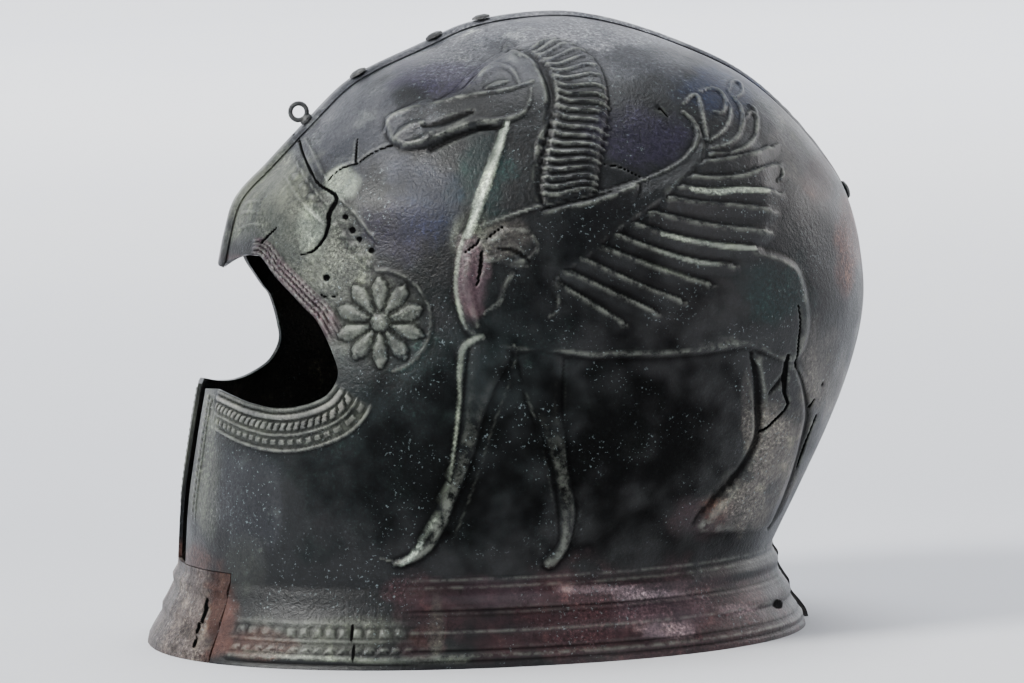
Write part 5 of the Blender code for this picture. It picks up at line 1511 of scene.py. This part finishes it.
class Nodes:
    """A material's nodes, added and joined in short calls."""

    def __init__(self, name):
        self.material = bpy.data.materials.new(name)
        self.material.use_nodes = True
        self.tree = self.material.node_tree
        self.shader = self.tree.nodes["Principled BSDF"]
        self.place = self.tree.nodes.new("ShaderNodeTexCoord").outputs["Object"]

    def put(self, value, socket):
        """Joins a socket to another one, or gives it a value."""
        if isinstance(value, bpy.types.NodeSocket):
            self.tree.links.new(value, socket)
        else:
            socket.default_value = value

    def add(self, kind, inputs, **settings):
        """A new node with these settings, and with values or sockets put into its inputs."""
        node = self.tree.nodes.new(kind)
        for key, value in settings.items():
            setattr(node, key, value)
        for key, value in inputs.items():
            self.put(value, node.inputs[key])
        return node

    def noise(self, scale, detail=6.0, roughness=0.55, warp=0.0):
        """Noise about the object's own origin."""
        inputs = {"Vector": self.place, "Scale": scale, "Detail": detail, "Roughness": roughness}
        return self.add("ShaderNodeTexNoise", {**inputs, "Distortion": warp}).outputs["Fac"]

    def ramp(self, value, low, high):
        """0 below low, 1 above high."""
        inputs = {"Value": value, "From Min": low, "From Max": high}
        node = self.add("ShaderNodeMapRange", inputs, interpolation_type="SMOOTHSTEP")
        return node.outputs["Result"]

    def field(self, scale, detail, roughness, warp, low, high):
        """Noise turned into patches, 0 below low and 1 above high."""
        return self.ramp(self.noise(scale, detail, roughness, warp), low, high)

    def read(self, name):
        """An attribute of the mesh."""
        return self.add("ShaderNodeAttribute", {}, attribute_name=name)

    def sum(self, operation, a, b):
        """Two values joined by an operation."""
        return self.add("ShaderNodeMath", {0: a, 1: b}, operation=operation).outputs[0]

    def times(self, a, b):
        """One value times another."""
        return self.sum("MULTIPLY", a, b)

    def mix(self, share, a, b, blend="MIX"):
        """Two colours mixed by a share."""
        colours = {}
        for key, value in ((6, a), (7, b)):
            colours[key] = value if isinstance(value, bpy.types.NodeSocket) else (*value, 1)
        node = self.add("ShaderNodeMix", {0: share, **colours}, data_type="RGBA", blend_type=blend)
        return node.outputs[2]

    def shade(self, colour, by):
        """A colour multiplied by another."""
        return self.mix(1.0, colour, by, "MULTIPLY")

    def bump(self, height, distance, strength, under=None):
        """A normal bent by a height, on top of another normal if one is given."""
        inputs = {"Distance": distance, "Strength": strength, "Height": height}
        if under is not None:
            inputs["Normal"] = under
        return self.add("ShaderNodeBump", inputs).outputs["Normal"]

    def finish(self, colour, roughness, metallic, normal=None):
        """Puts these on the shader and returns the material."""
        inputs = {"Base Color": colour, "Roughness": roughness, "Metallic": metallic}
        if normal is not None:
            inputs["Normal"] = normal
        for key, value in inputs.items():
            self.put(value, self.shader.inputs[key])
        return self.material


def bronze(name):
    """Old bronze: clouds, pits, glints and specks over the patina and its painted light and shade, crests
    lightened as wear and painted highlight, hollows and folds darkened as painted shade, cracks and holes
    painted dark as the shade inside them.
    """
    n = Nodes(name)
    gloss, worn, hollow_shade_and_pits, crack = (n.read(key).outputs["Fac"] for key in ("gloss", "worn", "hollow_shade_and_pits", "crack"))
    tint = n.read("patina_and_painted_light").outputs["Color"]
    tint = n.mix(n.field(*CLOUDS), n.shade(tint, CLOUD_SHADE), tint)
    tint = n.mix(n.field(*BLOOM), tint, n.shade(tint, BLOOM_SHADE))
    grain = n.noise(*GRAIN)
    coarse = n.field(*COARSE)
    most = n.sum("ADD", n.times(coarse, PITS_MORE), PITS_LEAST)
    tint = n.mix(n.times(n.ramp(grain, *GRAIN_PITS), most), tint, n.shade(tint, PIT_SHADE))
    tint = n.mix(n.times(n.ramp(grain, *GRAIN_GLINTS), coarse), tint, n.shade(tint, GLINT_SHADE))
    specks = n.times(n.field(*SPECKS), n.field(*SPECKLED))
    tint = n.mix(n.times(specks, SPECKS_SHOWN), tint, SPECK_TINT)
    # Crests get a lighter tint: partly wear, partly a painted highlight.
    rubbed_and_lit = n.times(worn, n.field(*RUBBED_AND_LIT))
    tint = n.mix(n.times(rubbed_and_lit, RUBBED_AND_LIT_SHOWN), tint, RUBBED_AND_LIT_TINT)
    # Hollows and folds are darkened with painted shade; on the infill the same mask darkens pits.
    tint = n.mix(n.times(hollow_shade_and_pits, HOLLOW_SHADE_AND_PIT_SHOWN), tint, HOLLOW_SHADE_AND_PIT_TINT)
    # Cracks and holes are painted near black, as the shade inside the openings.
    crack = n.ramp(crack, *CRACK_EDGES)
    tint = n.mix(crack, tint, CRACK_TINT)
    rough = n.sum("ADD", n.times(n.noise(*DULL), DULL_SPAN), DULL_LEAST)
    rough = n.sum("ADD", rough, n.times(crack, CRACK_ROUGHER))
    dark = n.times(n.sum("MAXIMUM", crack, hollow_shade_and_pits), DARK_DULLED)
    shown = n.times(gloss, n.sum("SUBTRACT", 1.0, dark))
    n.put(n.times(shown, SPECULAR), n.shader.inputs["Specular IOR Level"])
    normal = n.bump(n.noise(*DENTS), *DENTS_BUMP, n.bump(grain, *GRAIN_BUMP))
    return n.finish(tint, rough, n.times(shown, METALLIC), normal)


def plain(name, dark, light, scale, roughness, metallic, strength):
    """A mottled finish between two colours."""
    n = Nodes(name)
    tint = n.mix(n.field(scale, *PLAIN_FIELD), dark, light)
    shaded = n.ramp(n.noise(scale * SHADE_SCALE, 4), *SHADE_EDGES)
    tint = n.mix(shaded, tint, n.shade(tint, PLAIN_SHADE))
    rough = n.sum("ADD", n.times(n.noise(scale * ROUGH_SCALE, 4), ROUGH_SPAN), roughness - ROUGH_SPAN / 2)
    normal = n.bump(n.noise(scale * BUMP_SCALE, 5, 0.6), PLAIN_DEPTH, strength)
    return n.finish(tint, rough, metallic, normal)


def dress(nodes, name, finish):
    """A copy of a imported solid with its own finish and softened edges."""
    mesh = nodes[name].data.copy()
    mesh.materials.clear()
    mesh.materials.append(finish)
    mesh.shade_smooth()
    mesh.set_sharp_from_angle(angle=math.radians(SOLID_SHARP_ANGLE))
    obj = placed(name + "_dressed", mesh)
    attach(obj, "root")
    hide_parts(name)
    return obj


def weathered(obj):
    """Splits the infill finely and stores on it the looks that the bronze reads."""
    mesh = obj.data
    work = bmesh.new()
    work.from_mesh(mesh)
    bmesh.ops.subdivide_edges(work, edges=work.edges, cuts=INFILL_CUTS, use_grid_fill=True)
    work.to_mesh(mesh)
    work.free()
    places = np.array([tuple(v.co) for v in mesh.vertices])
    drawn = drawing_of(places)
    uneven = ragged(places, INFILL_SIZES, INFILL_SEED)
    colour = np.array(PATINA_AND_LIGHT_COLOURS["clay"]) * (1 + INFILL_RAGGED * uneven[:, None])
    stained = ease((drawn[:, 0] + INFILL_WANDER * uneven - INFILL_STAIN) / INFILL_BLEND)
    colour = toward(colour, "stain", stained * INFILL_STAINED)
    gloss = np.full(len(places), INFILL_GLOSS)
    store(mesh, colour, {"crack": cracked(drawn), "gloss": gloss, "hollow_shade_and_pits": -uneven * INFILL_PITS})


def backdrop():
    """A pale floor that curves up into a pale wall all round."""
    work = bmesh.new()
    rings = []
    for radius, height in FLOOR_PROFILE:
        angles = [2 * math.pi * k / FLOOR_SIDES for k in range(FLOOR_SIDES)]
        rings.append([work.verts.new((radius * math.cos(a), radius * math.sin(a), height)) for a in angles])
    work.faces.new(rings[0])
    for low, high in zip(rings, rings[1:]):
        for k in range(FLOOR_SIDES):
            n = (k + 1) % FLOOR_SIDES
            work.faces.new((low[k], high[k], high[n], low[n]))
    mesh = bpy.data.meshes.new("floor")
    work.to_mesh(mesh)
    work.free()
    mesh.shade_smooth()
    obj = placed("floor", mesh)
    n = Nodes("pale_floor")
    tint = n.mix(n.ramp(n.noise(*FLOOR_NOISE), *FLOOR_EDGES), *FLOOR_TINTS)
    obj.data.materials.append(n.finish(tint, FLOOR_ROUGHNESS, 0.0))


def lamp(name, place, aim, size, power, colour):
    """A square light turned to its aim."""
    light = bpy.data.lights.new(name, "AREA")
    light.size = size
    light.energy = power
    light.color = colour
    obj = placed(name, light)
    obj.location = place
    obj.rotation_mode = "QUATERNION"
    obj.rotation_quaternion = (Vector(aim) - Vector(place)).to_track_quat("-Z", "Y")


def lights():
    """The sky's even light and all lamps."""
    world = bpy.data.worlds.new("studio")
    bpy.context.scene.world = world
    world.use_nodes = True
    background = world.node_tree.nodes["Background"]
    background.inputs["Color"].default_value = SKY
    background.inputs["Strength"].default_value = SKY_STRENGTH
    for name, place, size, power, colour in LIGHTS:
        lamp(name, place, LIGHTS_AIM, size, power, colour)
    for place, aim, size, power in WALL_LIGHTS:
        lamp("wall", place, aim, size, power, WHITE)


def camera():
    """The drawing's eye, with the drawing's middle where the picture has it."""
    across, upward, away = (Vector(axis) for axis in eye_axes())
    made = bpy.data.cameras.new("camera")
    made.sensor_width = SENSOR
    made.lens = SENSOR * EYE_DISTANCE * DRAWING_LONG / PICTURE[0]
    made.shift_x = (PICTURE[0] / 2 - DRAWING_MIDDLE[0]) / PICTURE[0]
    made.shift_y = (DRAWING_MIDDLE[1] - PICTURE[1] / 2) / PICTURE[0]
    obj = placed("camera", made)
    turn = Matrix((across, upward, -away)).transposed().to_4x4()
    eye = Vector((0, 0, HEIGHT / 2)) - away * EYE_DISTANCE * LENGTH
    obj.matrix_world = Matrix.Translation(eye) @ turn
    bpy.context.scene.camera = obj


def main():
    """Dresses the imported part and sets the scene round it."""
    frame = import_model()
    chart = Chart()
    old_bronze = bronze("old_bronze")
    for name, over, seed in HALVES:
        obj = half(name + "_relief", chart, over, seed)
        obj.data.materials.append(old_bronze)
        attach(obj, "root")
        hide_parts(name)
    rivet = plain("rivet_bronze", *RIVET_FINISH)
    for name in RIVETS:
        dress(frame["nodes"], name, rivet)
    dress(frame["nodes"], "crest_loop", plain("loop_bronze", *WIRE_FINISH))
    weathered(dress(frame["nodes"], "chin_infill", bronze("infill")))
    backdrop()
    lights()
    camera()


main()
